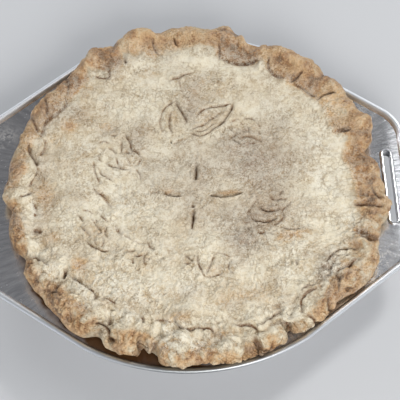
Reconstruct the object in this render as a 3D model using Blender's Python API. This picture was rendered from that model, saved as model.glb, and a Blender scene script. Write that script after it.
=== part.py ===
"""A double-crust fruit pie baked in its own pressed metal dish.

The dish is one sheet: a round tapered bowl, a flat flange that runs out into
two handle wings with a long slot in each, and a rolled bead round the edge.
The pie is one solid: it fills the bowl, rests on the flange, and ends in a
thick crimped rim round a nearly flat lid that has four vent cuts.

Units are metres, +Z is up, and the origin is under the middle of the dish.
+X runs out through one of the two wings.
"""

import math

import bmesh
import bpy
from mathutils import Vector

MM = 0.001

# Dish ----------------------------------------------------------------------
SHEET = 1.0 * MM                 # thickness of the metal
BOWL_DEPTH = 32.0 * MM           # underside of the floor to underside of the flange
FLOOR_RADIUS = 87.0 * MM         # inside, where the floor would meet the wall
MOUTH_RADIUS = 110.5 * MM        # inside, at the level of the flange
FLOOR_FILLET = 9.0 * MM          # inside radius between floor and wall
MOUTH_FILLET = 3.0 * MM          # inside radius between wall and flange
FLANGE_TOP = BOWL_DEPTH + SHEET

RIM_RADIUS = 129.2 * MM          # middle of the bead, front and back
RIM_ARC = math.radians(32.0)     # half of the round stretch at the front
WING_SLANT = math.radians(37.5)  # straight edges from the round part to a wing
WING_REACH = 143.8 * MM          # middle of the bead at a wing's end
WING_CORNER = 28.0 * MM          # radius of a wing's corners
BEAD_WIDTH = 1.8 * MM            # half the width of the bead
BEAD_HEIGHT = 1.4 * MM           # half the height of the bead
BEAD_RISE = 1.3 * MM             # middle of the bead above the flange
BEAD_TURN = 1.5 * math.pi        # how far the edge is rolled
BEAD_SIDES = 7
BEAD_FOOT = 1.3 * MM             # flat flange left inside the bead
DISH_STEPS = 64                  # points round the dish, before the extra ones
CORNER_STEPS = 5                 # points round each wing corner

SLOT_OUT = 132.2 * MM            # middle of a slot, out from the centre
SLOT_WIDTH = 4.6 * MM
SLOT_HALF_LENGTH = 27.8 * MM
SLOT_END_STEPS = 8
LIP_WIDTH = 2.6 * MM             # raised border pressed round each slot
LIP_HEIGHT = 1.1 * MM
COLLAR_DEPTH = 5.0 * MM          # turned-down edge of each slot, below the flange

# Pie -----------------------------------------------------------------------
SEAT_GAP = 0.35 * MM             # kept between crust and metal
WIDEST_STEP = 4.2                # degrees between two sections of the pie
SEAT_REACH = 112.8 * MM          # where the rim stops resting on the flange
HANG_LIMIT = 125.8 * MM          # beyond this the crust edge hangs over the bead
LIP_LIFT = 2.0 * MM              # underside of the crust edge above the flange
LID_HEIGHT = 14.0 * MM           # lid above the flange
CREST_HEIGHT = 13.5 * MM         # rim crest above the flange, before the crimps
LID_RADIUS = 98.0 * MM
LID_RINGS = (0.84, 0.6, 0.3)
CREST_MEAN = 2.0 * MM            # height of the crimps over the crest height
CREST_WAVE = 0.45                # further height for each unit that the edge stands out
CREST_PULL = 0.75                # how far high crimps lean in
WAVE_SPAN = 20.0                 # degrees each way over which the edge is averaged
WAVE_SAMPLES = 21
FOOT_START = 38.0                # degrees: between these directions, round the back,
FOOT_END = 122.0                 # a foot of crust lies against the bead
FOOT_FADE = 6.0
FOOT_INSET = 2.5 * MM            # foot short of the bead's middle

# Crust edge: direction in degrees and reach in millimetres, crest by crest and
# notch by notch, anticlockwise from the right wing.
CRIMPS = (
    (0.0, 127.5), (5.0, 126.5), (11.0, 120.0), (16.0, 127.5), (21.0, 132.5), (26.0, 129.5), (31.0, 130.0),
    (36.0, 131.0), (41.0, 129.0), (47.5, 131.5), (52.0, 128.5), (58.5, 131.0), (62.0, 128.5), (66.5, 124.0),
    (71.5, 130.0), (76.0, 134.0), (81.0, 131.0), (86.0, 132.0), (91.0, 131.5), (95.5, 129.0), (100.0, 132.0),
    (105.0, 132.5), (108.5, 129.5), (112.0, 126.5), (118.0, 130.0), (122.0, 126.5), (126.0, 123.5),
    (131.0, 121.5), (138.0, 120.0), (143.0, 121.5), (150.0, 118.5), (157.0, 118.0), (164.0, 118.5),
    (171.0, 117.0), (180.0, 119.0), (187.5, 116.0), (195.0, 119.0), (199.0, 119.0), (203.5, 117.0),
    (210.0, 121.0), (218.0, 121.0), (226.0, 123.5), (235.0, 126.0), (240.0, 120.5), (244.0, 126.0),
    (249.0, 130.0), (252.5, 127.5), (254.3, 119.0), (256.0, 122.0), (257.8, 121.0), (261.0, 127.5),
    (266.0, 130.0), (270.0, 127.5), (274.0, 130.5), (280.0, 133.5), (285.0, 131.5), (290.0, 132.0),
    (294.5, 130.0), (298.0, 123.0), (301.5, 130.0), (306.0, 130.0), (311.0, 129.0), (315.5, 127.5),
    (321.0, 130.5), (327.0, 132.0), (333.0, 133.0), (338.0, 129.5), (344.0, 126.5), (351.0, 130.5),
    (355.5, 127.0), (360.0, 127.5),
)

# Soft swells and hollows of the lid: x, y, spread, height.
LID_SWELLS = (
    (10.0, -8.0, 60.0, 1.6),
    (-62.0, 30.0, 28.0, -0.8),
    (52.0, 58.0, 30.0, 0.9),
    (-40.0, -62.0, 30.0, 0.8),
    (66.0, -36.0, 26.0, -0.7),
    (-8.0, -96.0, 9.0, 2.2),
)

# Vent cuts: middle x, middle y, half length, half width, turn in degrees.
VENTS = (
    (-10.4, -8.2, 6.2, 0.9, -11.0),
    (24.2, -11.0, 10.5, 1.2, 1.5),
    (5.6, 8.3, 6.6, 0.9, 86.5),
    (1.7, -26.2, 9.0, 0.9, 83.0),
)
VENT_DEPTH = 6.0 * MM
VENT_ARC_STEPS = 5


def smoothstep(value, low, high):
    """0 below low, 1 above high, and smooth between them."""
    share = min(max((value - low) / (high - low), 0.0), 1.0)
    return share * share * (3.0 - 2.0 * share)


def clear_scene():
    """Take away everything that the scene starts with."""
    for old in list(bpy.data.objects):
        bpy.data.objects.remove(old, do_unlink=True)


def make_material(name, colour, roughness, metallic):
    """Return a Principled material."""
    material = bpy.data.materials.new(name)
    material.use_nodes = True
    shader = material.node_tree.nodes["Principled BSDF"]
    shader.inputs["Base Color"].default_value = (*colour, 1.0)
    shader.inputs["Roughness"].default_value = roughness
    shader.inputs["Metallic"].default_value = metallic
    return material


def make_object(name, bm, material=None):
    """Turn a bmesh into a linked object with outward faces."""
    bmesh.ops.recalc_face_normals(bm, faces=bm.faces)
    mesh = bpy.data.meshes.new(name)
    bm.to_mesh(mesh)
    bm.free()
    part = bpy.data.objects.new(name, mesh)
    bpy.context.scene.collection.objects.link(part)
    if material is not None:
        mesh.materials.append(material)
    return part


def loft(bm, rings):
    """Join rings of equal length into a skin that is closed by two end fans."""
    loops = [[bm.verts.new(point) for point in ring] for ring in rings]
    for lower, upper in zip(loops, loops[1:]):
        for i in range(len(lower)):
            j = (i + 1) % len(lower)
            bm.faces.new((lower[i], lower[j], upper[j], upper[i]))
    for loop in (loops[0], loops[-1]):
        middle = bm.verts.new(sum((v.co for v in loop), Vector()) / len(loop))
        for i in range(len(loop)):
            bm.faces.new((loop[i], loop[(i + 1) % len(loop)], middle))


def arc(centre_r, centre_z, radius, start, end, steps):
    """Points (r, z) on an arc, from one angle to another, both included."""
    points = []
    for i in range(steps + 1):
        angle = start + (end - start) * i / steps
        points.append((centre_r + radius * math.cos(angle), centre_z + radius * math.sin(angle)))
    return points


# Dish ----------------------------------------------------------------------

def bowl_profile(offset):
    """Bowl section (r, z) from floor to flange, offset from its inner face.

    A positive offset lies inside the bowl, where the food is, and a negative
    one lies in or under the metal.
    """
    rise = FLANGE_TOP - SHEET
    slope = math.atan2(rise, MOUTH_RADIUS - FLOOR_RADIUS)
    floor_radius = FLOOR_FILLET - offset
    mouth_radius = MOUTH_FILLET + offset
    tangent = FLOOR_FILLET * math.tan(slope / 2)
    points = arc(FLOOR_RADIUS - tangent, SHEET + FLOOR_FILLET, floor_radius,
                 -math.pi / 2, -math.pi / 2 + slope, 3)
    tangent = MOUTH_FILLET * math.tan(slope / 2)
    points += arc(MOUTH_RADIUS + tangent, FLANGE_TOP - MOUTH_FILLET, mouth_radius,
                  math.pi / 2 + slope, math.pi / 2, 2)
    return points


def rim_point(angle):
    """Bead's middle and its outward normal, in the direction of an angle.

    The outline is worked out for the first quadrant and mirrored: a round
    front, a straight edge, a round wing corner and the straight wing end.
    """
    ax, ay = abs(math.cos(angle)), abs(math.sin(angle))
    start = Vector((math.sin(RIM_ARC), math.cos(RIM_ARC))) * RIM_RADIUS
    edge_normal = Vector((math.sin(WING_SLANT), math.cos(WING_SLANT)))
    edge_distance = start.dot(edge_normal)
    corner_x = WING_REACH - WING_CORNER
    corner_y = (edge_distance - WING_CORNER - corner_x * edge_normal.x) / edge_normal.y
    corner = Vector((corner_x, corner_y))
    ray = Vector((ax, ay))
    touch = corner + edge_normal * WING_CORNER
    if ax <= math.sin(RIM_ARC):
        point, normal = ray * RIM_RADIUS, ray
    elif ay * touch.x >= ax * touch.y:
        point, normal = ray * (edge_distance / ray.dot(edge_normal)), edge_normal
    elif ay * WING_REACH <= ax * corner_y:
        point, normal = ray * (WING_REACH / ax), Vector((1.0, 0.0))
    else:
        along = ray.dot(corner)
        root = math.sqrt(along ** 2 - corner.length_squared + WING_CORNER ** 2)
        point = ray * (along + root)
        normal = (point - corner).normalized()
    signs = Vector((math.copysign(1.0, math.cos(angle)), math.copysign(1.0, math.sin(angle))))
    return point * signs, normal * signs


def dish_angles():
    """Directions round the dish, closer together round the wing corners."""
    angles = {round(360.0 * i / DISH_STEPS, 3) for i in range(DISH_STEPS)}
    corner_low, corner_high = 15.0, 24.6
    for i in range(CORNER_STEPS + 1):
        angle = corner_low + (corner_high - corner_low) * i / CORNER_STEPS
        for mirrored in (angle, 180.0 - angle, 180.0 + angle, 360.0 - angle):
            angles = {a for a in angles if abs(a - mirrored) > 0.8}
            angles.add(round(mirrored, 3))
    return [math.radians(a) for a in sorted(angles)]


def add_dish(material):
    """Bowl, flange, wings and bead as one closed sheet with two slots."""
    angles = dish_angles()
    inner = bowl_profile(0.0)
    outer = bowl_profile(-SHEET)
    rim = [rim_point(angle) for angle in angles]

    def round_ring(radius, z):
        return [(radius * math.cos(a), radius * math.sin(a), z) for a in angles]

    def rim_ring(out, z):
        return [(p.x + n.x * out, p.y + n.y * out, z) for p, n in rim]

    rings = [round_ring(r, z) for r, z in inner]
    rings.append(rim_ring(-BEAD_WIDTH - BEAD_FOOT, FLANGE_TOP))
    bead_z = FLANGE_TOP + BEAD_RISE
    for i in range(BEAD_SIDES + 1):
        turn = math.pi - BEAD_TURN * i / BEAD_SIDES
        rings.append(rim_ring(BEAD_WIDTH * math.cos(turn), bead_z + BEAD_HEIGHT * math.sin(turn)))
    rings.append(rim_ring(-BEAD_WIDTH - SHEET / 2, FLANGE_TOP - SHEET))
    rings += [round_ring(r, z) for r, z in reversed(outer)]
    bm = bmesh.new()
    loft(bm, rings)
    dish = make_object("pie_dish", bm, material)
    for side in (1.0, -1.0):
        name = "right" if side > 0 else "left"
        add_boolean(dish, add_slot_lip(f"lip_{name}", side), "UNION")
    for side in (1.0, -1.0):
        name = "right" if side > 0 else "left"
        add_boolean(dish, add_slot_cutter(f"slot_{name}", side), "DIFFERENCE")
    dish.data.shade_smooth()
    dish.data.set_sharp_from_angle(angle=math.radians(40.0))
    return dish


def slot_path(side, grow):
    """Rounded-end outline of a wing slot, grown outward by a distance."""
    radius = SLOT_WIDTH / 2 + grow
    straight = SLOT_HALF_LENGTH - SLOT_WIDTH / 2
    points = []
    for end, start_angle in ((1.0, 0.0), (-1.0, math.pi)):
        for i in range(SLOT_END_STEPS + 1):
            angle = start_angle + math.pi * i / SLOT_END_STEPS
            points.append((side * SLOT_OUT + radius * math.cos(angle),
                           end * straight + radius * math.sin(angle)))
    return points


def add_slot_lip(name, side):
    """Raised border round a slot, with its turned-down edge, which is joined to the flange."""
    foot = FLANGE_TOP - SHEET / 2
    inside = -0.6 * SHEET        # stands into the slot until the slot is cut
    deep = FLANGE_TOP - COLLAR_DEPTH
    section = ((inside, deep), (inside, FLANGE_TOP + 0.7 * LIP_HEIGHT),
               (0.3 * LIP_WIDTH, FLANGE_TOP + LIP_HEIGHT),
               (0.75 * LIP_WIDTH, FLANGE_TOP + 0.6 * LIP_HEIGHT),
               (LIP_WIDTH, foot), (SHEET, foot - SHEET), (SHEET, deep))
    bm = bmesh.new()
    loops = []
    for grow, z in section:
        loops.append([bm.verts.new((x, y, z)) for x, y in slot_path(side, grow)])
    for i, lower in enumerate(loops):
        upper = loops[(i + 1) % len(loops)]
        for j in range(len(lower)):
            k = (j + 1) % len(lower)
            bm.faces.new((lower[j], lower[k], upper[k], upper[j]))
    return make_object(name, bm)


def add_slot_cutter(name, side):
    """Upright prism that opens a slot through lip and flange."""
    low, high = FLANGE_TOP - 2 * COLLAR_DEPTH, FLANGE_TOP + 4 * LIP_HEIGHT
    bm = bmesh.new()
    loft(bm, [[(x, y, z) for x, y in slot_path(side, 0.0)] for z in (low, high)])
    return make_object(name, bm)


def add_boolean(target, tool, operation):
    """Apply a tool shape to a target with a Boolean modifier, and hide it."""
    modifier = target.modifiers.new(tool.name, "BOOLEAN")
    modifier.operation = operation
    modifier.solver = "EXACT"
    modifier.object = tool
    tool.hide_render = True
    tool.display_type = "WIRE"


# Pie -----------------------------------------------------------------------

def crust_reach(degrees):
    """How far the crust edge stands from the middle in a direction."""
    degrees %= 360.0
    for (start, low), (end, high) in zip(CRIMPS, CRIMPS[1:]):
        if degrees <= end:
            return (low + (high - low) * smoothstep(degrees, start, end)) * MM
    return CRIMPS[-1][1] * MM


def crust_wave(degrees):
    """How far the edge stands out from its own average nearby."""
    total = 0.0
    for i in range(WAVE_SAMPLES):
        total += crust_reach(degrees + WAVE_SPAN * (2.0 * i / (WAVE_SAMPLES - 1) - 1.0))
    return crust_reach(degrees) - total / WAVE_SAMPLES


def crust_foot(degrees, reach, bead_reach):
    """How far the foot of the crust stands out from its edge, round the back."""
    rise = smoothstep(degrees, FOOT_START - FOOT_FADE, FOOT_START)
    fall = smoothstep(degrees, FOOT_END, FOOT_END + FOOT_FADE)
    return rise * (1.0 - fall) * max(0.0, bead_reach - FOOT_INSET - reach)


def lid_height(x, y):
    """Height of the lid over the flange at a place."""
    height = LID_HEIGHT
    for sx, sy, spread, swell in LID_SWELLS:
        away = math.hypot(x - sx * MM, y - sy * MM) / (spread * MM)
        height += swell * MM * math.exp(-away ** 2)
    return height


def pie_section(degrees):
    """Points (r, z) of the pie from the floor's edge, over the rim, to the lid."""
    angle = math.radians(degrees)
    reach = crust_reach(degrees)
    bead_reach = rim_point(angle)[0].length
    over = max(0.0, reach - HANG_LIMIT - bead_reach + RIM_RADIUS)
    foot = crust_foot(degrees, reach, bead_reach)
    side = reach + foot
    flute = CREST_MEAN + CREST_WAVE * crust_wave(degrees)
    crest = FLANGE_TOP + CREST_HEIGHT + flute
    low = FLANGE_TOP + SEAT_GAP
    points = bowl_profile(SEAT_GAP)
    points += [
        (SEAT_REACH, low),
        (side - 2.5 * MM - over, low + 0.6 * LIP_LIFT + 0.1 * over),
        (side - 0.5 * MM - 0.6 * over, low + 2.0 * LIP_LIFT + 0.3 * over),
        (reach + 0.85 * foot, low + 3.5 * LIP_LIFT + 0.5 * over),
        (reach - 1.0 * MM, crest - 4.0 * MM),
        (reach - 4.5 * MM, crest - 1.0 * MM),
        (reach - 9.0 * MM, crest),
        (reach - 13.0 * MM - CREST_PULL * flute, crest - 1.4 * MM),
    ]
    for share in (1.0, *LID_RINGS):
        radius = LID_RADIUS * share
        x, y = radius * math.cos(angle), radius * math.sin(angle)
        points.append((radius, FLANGE_TOP + lid_height(x, y)))
    return points


def pie_directions():
    """Directions of the sections: every crest and notch, and steps between those that are far apart."""
    directions = []
    for (start, _), (end, _) in zip(CRIMPS, CRIMPS[1:]):
        steps = math.ceil((end - start) / WIDEST_STEP)
        directions += [start + (end - start) * i / steps for i in range(steps)]
    return directions


def add_pie(material):
    """The baked pie as one closed solid with four vent cuts."""
    directions = pie_directions()
    sections = [pie_section(d) for d in directions]
    rings = []
    for station in range(len(sections[0])):
        ring = []
        for direction, section in zip(directions, sections):
            angle = math.radians(direction)
            radius, z = section[station]
            ring.append((radius * math.cos(angle), radius * math.sin(angle), z))
        rings.append(ring)
    bm = bmesh.new()
    loft(bm, rings)
    pie = make_object("fruit_pie", bm, material)
    add_boolean(pie, add_vent_cutter("vents"), "DIFFERENCE")
    pie.data.shade_smooth()
    pie.data.set_sharp_from_angle(angle=math.radians(50.0))
    return pie


def vent_outline(x, y, half_length, half_width, turn):
    """Lens shape with two pointed ends."""
    cos_t, sin_t = math.cos(math.radians(turn)), math.sin(math.radians(turn))
    points = []
    for side in (1.0, -1.0):
        for i in range(VENT_ARC_STEPS):
            along = side * math.cos(math.pi * i / VENT_ARC_STEPS)
            across = side * math.sin(math.pi * i / VENT_ARC_STEPS)
            u, v = half_length * along * MM, half_width * across * MM
            points.append((x * MM + u * cos_t - v * sin_t, y * MM + u * sin_t + v * cos_t))
    return points


def add_vent_cutter(name):
    """Four upright lens prisms that cut the vents into the lid."""
    top = FLANGE_TOP + LID_HEIGHT
    bm = bmesh.new()
    for vent in VENTS:
        outline = vent_outline(*vent)
        loft(bm, [[(x, y, z) for x, y in outline] for z in (top - VENT_DEPTH, top + 2 * VENT_DEPTH)])
    return make_object(name, bm)


def main():
    """Build the dish and the pie."""
    clear_scene()
    metal = make_material("satin_metal", (0.55, 0.56, 0.60), 0.32, 1.0)
    crust = make_material("baked_crust", (0.67, 0.58, 0.42), 0.85, 0.0)
    add_dish(metal)
    add_pie(crust)


main()
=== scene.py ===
"""A double-crust fruit pie in its pressed metal dish: fine form, finishes and studio.

Lengths are millimetres unless a name says otherwise, and meshes are made in
metres. +X runs out through one wing of the dish and +Z is up. Heights of the
crust are given above the top of the dish's flange. Marks in the crust are laid
out on a level stencil at the lid's height, looked at from the baker's eye.
"""

import logging
import math
from dataclasses import dataclass
from enum import Enum

import bmesh
import bpy
import numpy as np
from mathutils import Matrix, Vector


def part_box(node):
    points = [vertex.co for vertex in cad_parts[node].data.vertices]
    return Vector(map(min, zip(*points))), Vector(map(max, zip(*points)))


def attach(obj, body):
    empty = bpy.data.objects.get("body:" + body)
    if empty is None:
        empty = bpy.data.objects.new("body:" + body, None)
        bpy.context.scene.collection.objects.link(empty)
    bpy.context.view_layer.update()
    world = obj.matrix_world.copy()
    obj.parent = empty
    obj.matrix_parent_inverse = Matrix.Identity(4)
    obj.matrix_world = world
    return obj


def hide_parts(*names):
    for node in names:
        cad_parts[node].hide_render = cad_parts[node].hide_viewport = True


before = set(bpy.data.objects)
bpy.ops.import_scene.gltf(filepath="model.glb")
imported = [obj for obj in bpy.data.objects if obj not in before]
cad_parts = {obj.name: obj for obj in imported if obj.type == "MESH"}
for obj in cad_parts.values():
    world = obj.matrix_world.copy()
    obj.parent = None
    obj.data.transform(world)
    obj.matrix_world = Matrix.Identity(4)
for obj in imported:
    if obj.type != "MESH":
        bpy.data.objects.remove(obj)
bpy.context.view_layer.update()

Array = np.ndarray
Colour = tuple[float, float, float]
Pair = tuple[float, float]
Place = tuple[float, float]
Point = tuple[float, float, float]
Row = tuple[float, ...]
Item = bpy.types.Object
Material = bpy.types.Material
Socket = bpy.types.NodeSocket
Tree = bpy.types.NodeTree

LOG = logging.getLogger("fruit_pie")
MM = 0.001
FULL_TURN = 2.0 * math.pi
SIDES = (1.0, -1.0)


class Slot(Enum):
    """Finish slots, one for the crust and one for the metal."""

    CRUST = "crust"
    METAL = "metal"


class Edge(Enum):
    """How the side of a lump falls off."""

    SOFT = "soft"      # fades out smoothly
    CRISP = "crisp"    # ends at a line, as folded dough does


# ---------------------------------------------------------------------------
# Shared geometry


@dataclass(frozen=True)
class Grain:
    """Smooth lattice noise.

    Attributes:
        seed: chooses the pattern.
    """

    seed: int

    def at(self, points: Array, size: float) -> Array:
        """Noise of about -1 to 1 whose lumps are about one size across.

        Args:
            points: places, one row each.
            size: distance between lattice points, in the units of the places.

        Returns:
            One value for each place.
        """
        rng = np.random.default_rng(self.seed)
        order = rng.permutation(256)
        slopes = rng.normal(size=(256, 3))
        slopes /= np.linalg.norm(slopes, axis=1)[:, None]
        scaled = points / size + 31.7
        cell = np.floor(scaled).astype(np.int64)
        inside = scaled - cell
        fade = inside ** 3 * (inside * (inside * 6.0 - 15.0) + 10.0)
        total = np.zeros(len(points))
        for corner in np.ndindex(2, 2, 2):
            at_corner = cell + corner
            pick = order[at_corner[:, 0] & 255]
            pick = order[(pick + at_corner[:, 1]) & 255]
            pick = order[(pick + at_corner[:, 2]) & 255]
            weight = np.prod(np.where(corner, fade, 1.0 - fade), axis=1)
            total += weight * ((inside - corner) * slopes[pick]).sum(axis=1)
        return total * 1.7

    def layered(self, points: Array, size: float, layers: int) -> Array:
        """Several sizes of the noise, each half as large and half as strong as the last.

        Args:
            points: places, one row each.
            size: size of the coarsest noise.
            layers: how many sizes there are.

        Returns:
            One value for each place.
        """
        total = np.zeros(len(points))
        for layer in range(layers):
            total += Grain(self.seed + layer).at(points, size / 2 ** layer) / 2 ** layer
        return total


def smoothstep(value: Array, low: float, high: float) -> Array:
    """0 below low, 1 above high, and smooth between them."""
    share = np.clip((value - low) / (high - low), 0.0, 1.0)
    return share * share * (3.0 - 2.0 * share)


def smooth_path(points: Array, steps: int) -> Array:
    """Smooth curve through points, whose ends may be curves themselves.

    Args:
        points: knots along the first axis, any shape after it.
        steps: steps from each knot to the next.

    Returns:
        Points of the curve along the first axis, both ends included.
    """
    knots = np.concatenate([2 * points[:1] - points[1:2], points, 2 * points[-1:] - points[-2:-1]])
    share = (np.arange(steps) / steps).reshape((steps,) + (1,) * (points.ndim - 1))
    spans = []
    for a, b, c, d in zip(knots, knots[1:], knots[2:], knots[3:]):
        bend = (2 * a - 5 * b + 4 * c - d) * share ** 2 + (3 * (b - c) + d - a) * share ** 3
        spans.append(b + 0.5 * ((c - a) * share + bend))
    return np.concatenate(spans + [points[-1:]])


def evenly(curves: Array, count: int) -> Array:
    """The same curves with a given number of points at even distances.

    Args:
        curves: points along the first axis, a curve for each place of the second.
        count: points wanted in each, both ends included.

    Returns:
        The points, in the same layout.
    """
    wanted = np.linspace(0.0, 1.0, count)
    columns = []
    for curve in np.moveaxis(curves, 1, 0):
        run = run_along(curve)
        columns.append(np.stack([np.interp(wanted * run[-1], run, line) for line in curve.T], axis=-1))
    return np.stack(columns, axis=1)


def run_along(line: Array) -> Array:
    """Distance run at each point of a line."""
    return np.concatenate([[0.0], np.cumsum(np.linalg.norm(np.diff(line, axis=0), axis=1))])


def ring_faces(first: Array, second: Array) -> Array:
    """Quads between two closed rings of vertex numbers; they look up if the second ring is outside."""
    return np.stack([first, second, np.roll(second, -1), np.roll(first, -1)], axis=1)


def tube_faces(numbers: Array) -> Array:
    """Quads along rings of vertex numbers, which stand along the first axis."""
    return np.concatenate([ring_faces(a, b) for a, b in zip(numbers, numbers[1:])])


def as_triangles(quads: Array) -> Array:
    """Two triangles for each quad."""
    return np.concatenate([quads[:, [0, 1, 2]], quads[:, [0, 2, 3]]])


def fan_faces(middle: int, ring: Array) -> Array:
    """Triangles from a middle vertex to a closed ring of vertex numbers."""
    return np.stack([np.full(len(ring), middle), ring, np.roll(ring, -1)], axis=1)


def vertex_normals(points: Array, triangles: Array) -> Array:
    """Area-weighted unit normals of a triangle mesh.

    Args:
        points: vertices.
        triangles: three vertex numbers a row.

    Returns:
        One normal for each vertex.
    """
    a, b, c = (points[triangles[:, k]] for k in range(3))
    across = np.cross(b - a, c - a)
    total = np.zeros_like(points)
    for k, axis in np.ndindex(3, 3):
        total[:, axis] += np.bincount(triangles[:, k], across[:, axis], len(points))
    return total / np.maximum(np.linalg.norm(total, axis=1), 1e-12)[:, None]


def make_piece(name: str, points: Array, faces: list[Array]) -> Item:
    """Turn arrays into a linked, smooth-shaded object.

    Args:
        name: the piece's name.
        points: vertices in millimetres.
        faces: arrays of vertex numbers, each with its own corner count.

    Returns:
        The new object.
    """
    mesh = bpy.data.meshes.new(name)
    corners = np.concatenate([part.ravel() for part in faces])
    counts = np.concatenate([np.full(len(part), part.shape[1]) for part in faces])
    starts = np.concatenate([[0], np.cumsum(counts)[:-1]])
    mesh.vertices.add(len(points))
    mesh.vertices.foreach_set("co", (points * MM).astype(np.float32).ravel())
    mesh.loops.add(len(corners))
    mesh.loops.foreach_set("vertex_index", corners.astype(np.int32))
    mesh.polygons.add(len(counts))
    mesh.polygons.foreach_set("loop_start", starts.astype(np.int32))
    mesh.update(calc_edges=True)
    mesh.validate()
    mesh.shade_smooth()
    return link(name, mesh)


def link(name: str, data: bpy.types.ID) -> Item:
    """Put a mesh, a light or a camera into the scene."""
    made = bpy.data.objects.new(name, data)
    bpy.context.scene.collection.objects.link(made)
    return made


def set_mask(piece: Item, name: str, values: Array) -> None:
    """Store one value a vertex under a name that the finish reads."""
    mask = piece.data.attributes.new(name, "FLOAT", "POINT")
    mask.data.foreach_set("value", values.astype(np.float32))


def hand_over(piece: Item, node: str) -> Item:
    """Mount a finished piece in place of its plain node.

    Args:
        piece: the finished piece.
        node: the node whose place it takes.

    Returns:
        The same piece.
    """
    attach(piece, "root")
    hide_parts(node)
    return piece


# ---------------------------------------------------------------------------
# Node work


class Bench:
    """Adds and joins nodes in one tree.

    Attributes:
        tree: the node tree worked on.
    """

    def __init__(self, tree: Tree) -> None:
        """Start on an empty tree."""
        self.tree = tree
        tree.nodes.clear()

    @classmethod
    def for_material(cls, name: str) -> tuple[Material, "Bench", Socket]:
        """Start a material.

        Args:
            name: the material's name.

        Returns:
            The material, its bench, and the place on the object.
        """
        material = bpy.data.materials.new(name)
        material.use_nodes = True
        bench = cls(material.node_tree)
        return material, bench, bench.place()

    def node(self, kind: str, given: dict | None = None, **settings: object) -> bpy.types.Node:
        """Add a node, set its properties and fill the given inputs.

        Args:
            kind: the node's type.
            given: values or sockets by name or number of the input.
            settings: properties by name.

        Returns:
            The new node.
        """
        made = self.tree.nodes.new(kind)
        for name, value in settings.items():
            setattr(made, name, value)
        for name, value in (given or {}).items():
            self.plug(made.inputs[name], value)
        return made

    def plug(self, socket: Socket, value: object) -> None:
        """Link a socket into an input, or set the input's plain value.

        Args:
            socket: the input.
            value: a socket or a plain value.
        """
        if isinstance(value, Socket):
            self.tree.links.new(value, socket)
        else:
            socket.default_value = value

    def place(self) -> Socket:
        """Where on the object the surface is, in metres."""
        return self.node("ShaderNodeTexCoord").outputs["Object"]

    def math(self, operation: str, *values: object, clamp: bool = False) -> Socket:
        """One step of arithmetic on numbers or sockets."""
        made = self.node("ShaderNodeMath", dict(enumerate(values)), operation=operation, use_clamp=clamp)
        return made.outputs[0]

    def times(self, first: object, second: object, clamp: bool = False) -> Socket:
        """Product of two values."""
        return self.math("MULTIPLY", first, second, clamp=clamp)

    def plus(self, first: object, second: object, clamp: bool = False) -> Socket:
        """Sum of two values."""
        return self.math("ADD", first, second, clamp=clamp)

    def minus(self, first: object, second: object, clamp: bool = False) -> Socket:
        """The first value less the second."""
        return self.math("SUBTRACT", first, second, clamp=clamp)

    def mix(self, share: object, first: object, second: object, blend: str = "MIX") -> Socket:
        """Blend two colours.

        Args:
            share: how much of the second colour shows.
            first: a colour or socket.
            second: a colour or socket.
            blend: how the second lies on the first.

        Returns:
            The blended colour.
        """
        made = self.node("ShaderNodeMix", data_type="RGBA", blend_type=blend)
        self.plug(made.inputs["Factor"], share)
        for socket, value in zip((made.inputs[6], made.inputs[7]), (first, second)):
            self.plug(socket, (*value, 1.0) if isinstance(value, tuple) else value)
        return made.outputs[2]

    def noise(self, vector: Socket, scale: object, detail: float, rough: float = 0.55) -> Socket:
        """Fractal noise from 0 to 1; the scale is in lumps a metre."""
        given = {"Vector": vector, "Scale": scale, "Detail": detail, "Roughness": rough}
        return self.node("ShaderNodeTexNoise", given).outputs["Fac"]

    def span(self, value: object, low: float, high: float, out_low: float = 0.0,
             out_high: float = 1.0) -> Socket:
        """Carry a range of values smoothly to another range."""
        given = dict(enumerate((value, low, high, out_low, out_high)))
        return self.node("ShaderNodeMapRange", given, interpolation_type="SMOOTHSTEP").outputs[0]

    def ramp(self, value: object, stops: tuple[tuple[float, Colour], ...]) -> Socket:
        """Colours along a scale from 0 to 1.

        Args:
            value: place on the scale.
            stops: a place and colour each, in order.

        Returns:
            The colour.
        """
        made = self.node("ShaderNodeValToRGB", {0: value})
        elements = made.color_ramp.elements
        while len(elements) < len(stops):
            elements.new(0.5)
        for element, (place, colour) in zip(elements, stops):
            element.position = place
            element.color = (*colour, 1.0)
        return made.outputs[0]

    def mask(self, name: str) -> Socket:
        """Read one of the values stored on a piece's vertices."""
        return self.node("ShaderNodeAttribute", attribute_name=name).outputs["Fac"]

    def group(self, made: Tree, **values: object) -> Socket:
        """Place a node group with its own values.

        Args:
            made: the group.
            values: inputs by name.

        Returns:
            The group's one output.
        """
        placed = self.node("ShaderNodeGroup", node_tree=made)
        for name, value in values.items():
            self.plug(placed.inputs[name], value)
        return placed.outputs[0]

    def surface(self, height: object, bump: Pair, **given: object) -> None:
        """Principled surface on the material's output.

        Args:
            height: its fine relief.
            bump: strength and depth of the relief, the depth in millimetres.
            given: inputs by name, with a low line for each space.
        """
        strength, depth = bump
        bent = {"Strength": strength, "Distance": depth * MM, "Height": height}
        relief = self.node("ShaderNodeBump", bent)
        inputs = {name.replace("_", " "): value for name, value in given.items()}
        shader = self.node("ShaderNodeBsdfPrincipled", inputs | {"Normal": relief.outputs["Normal"]})
        self.node("ShaderNodeOutputMaterial", {"Surface": shader.outputs["BSDF"]})


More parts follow.
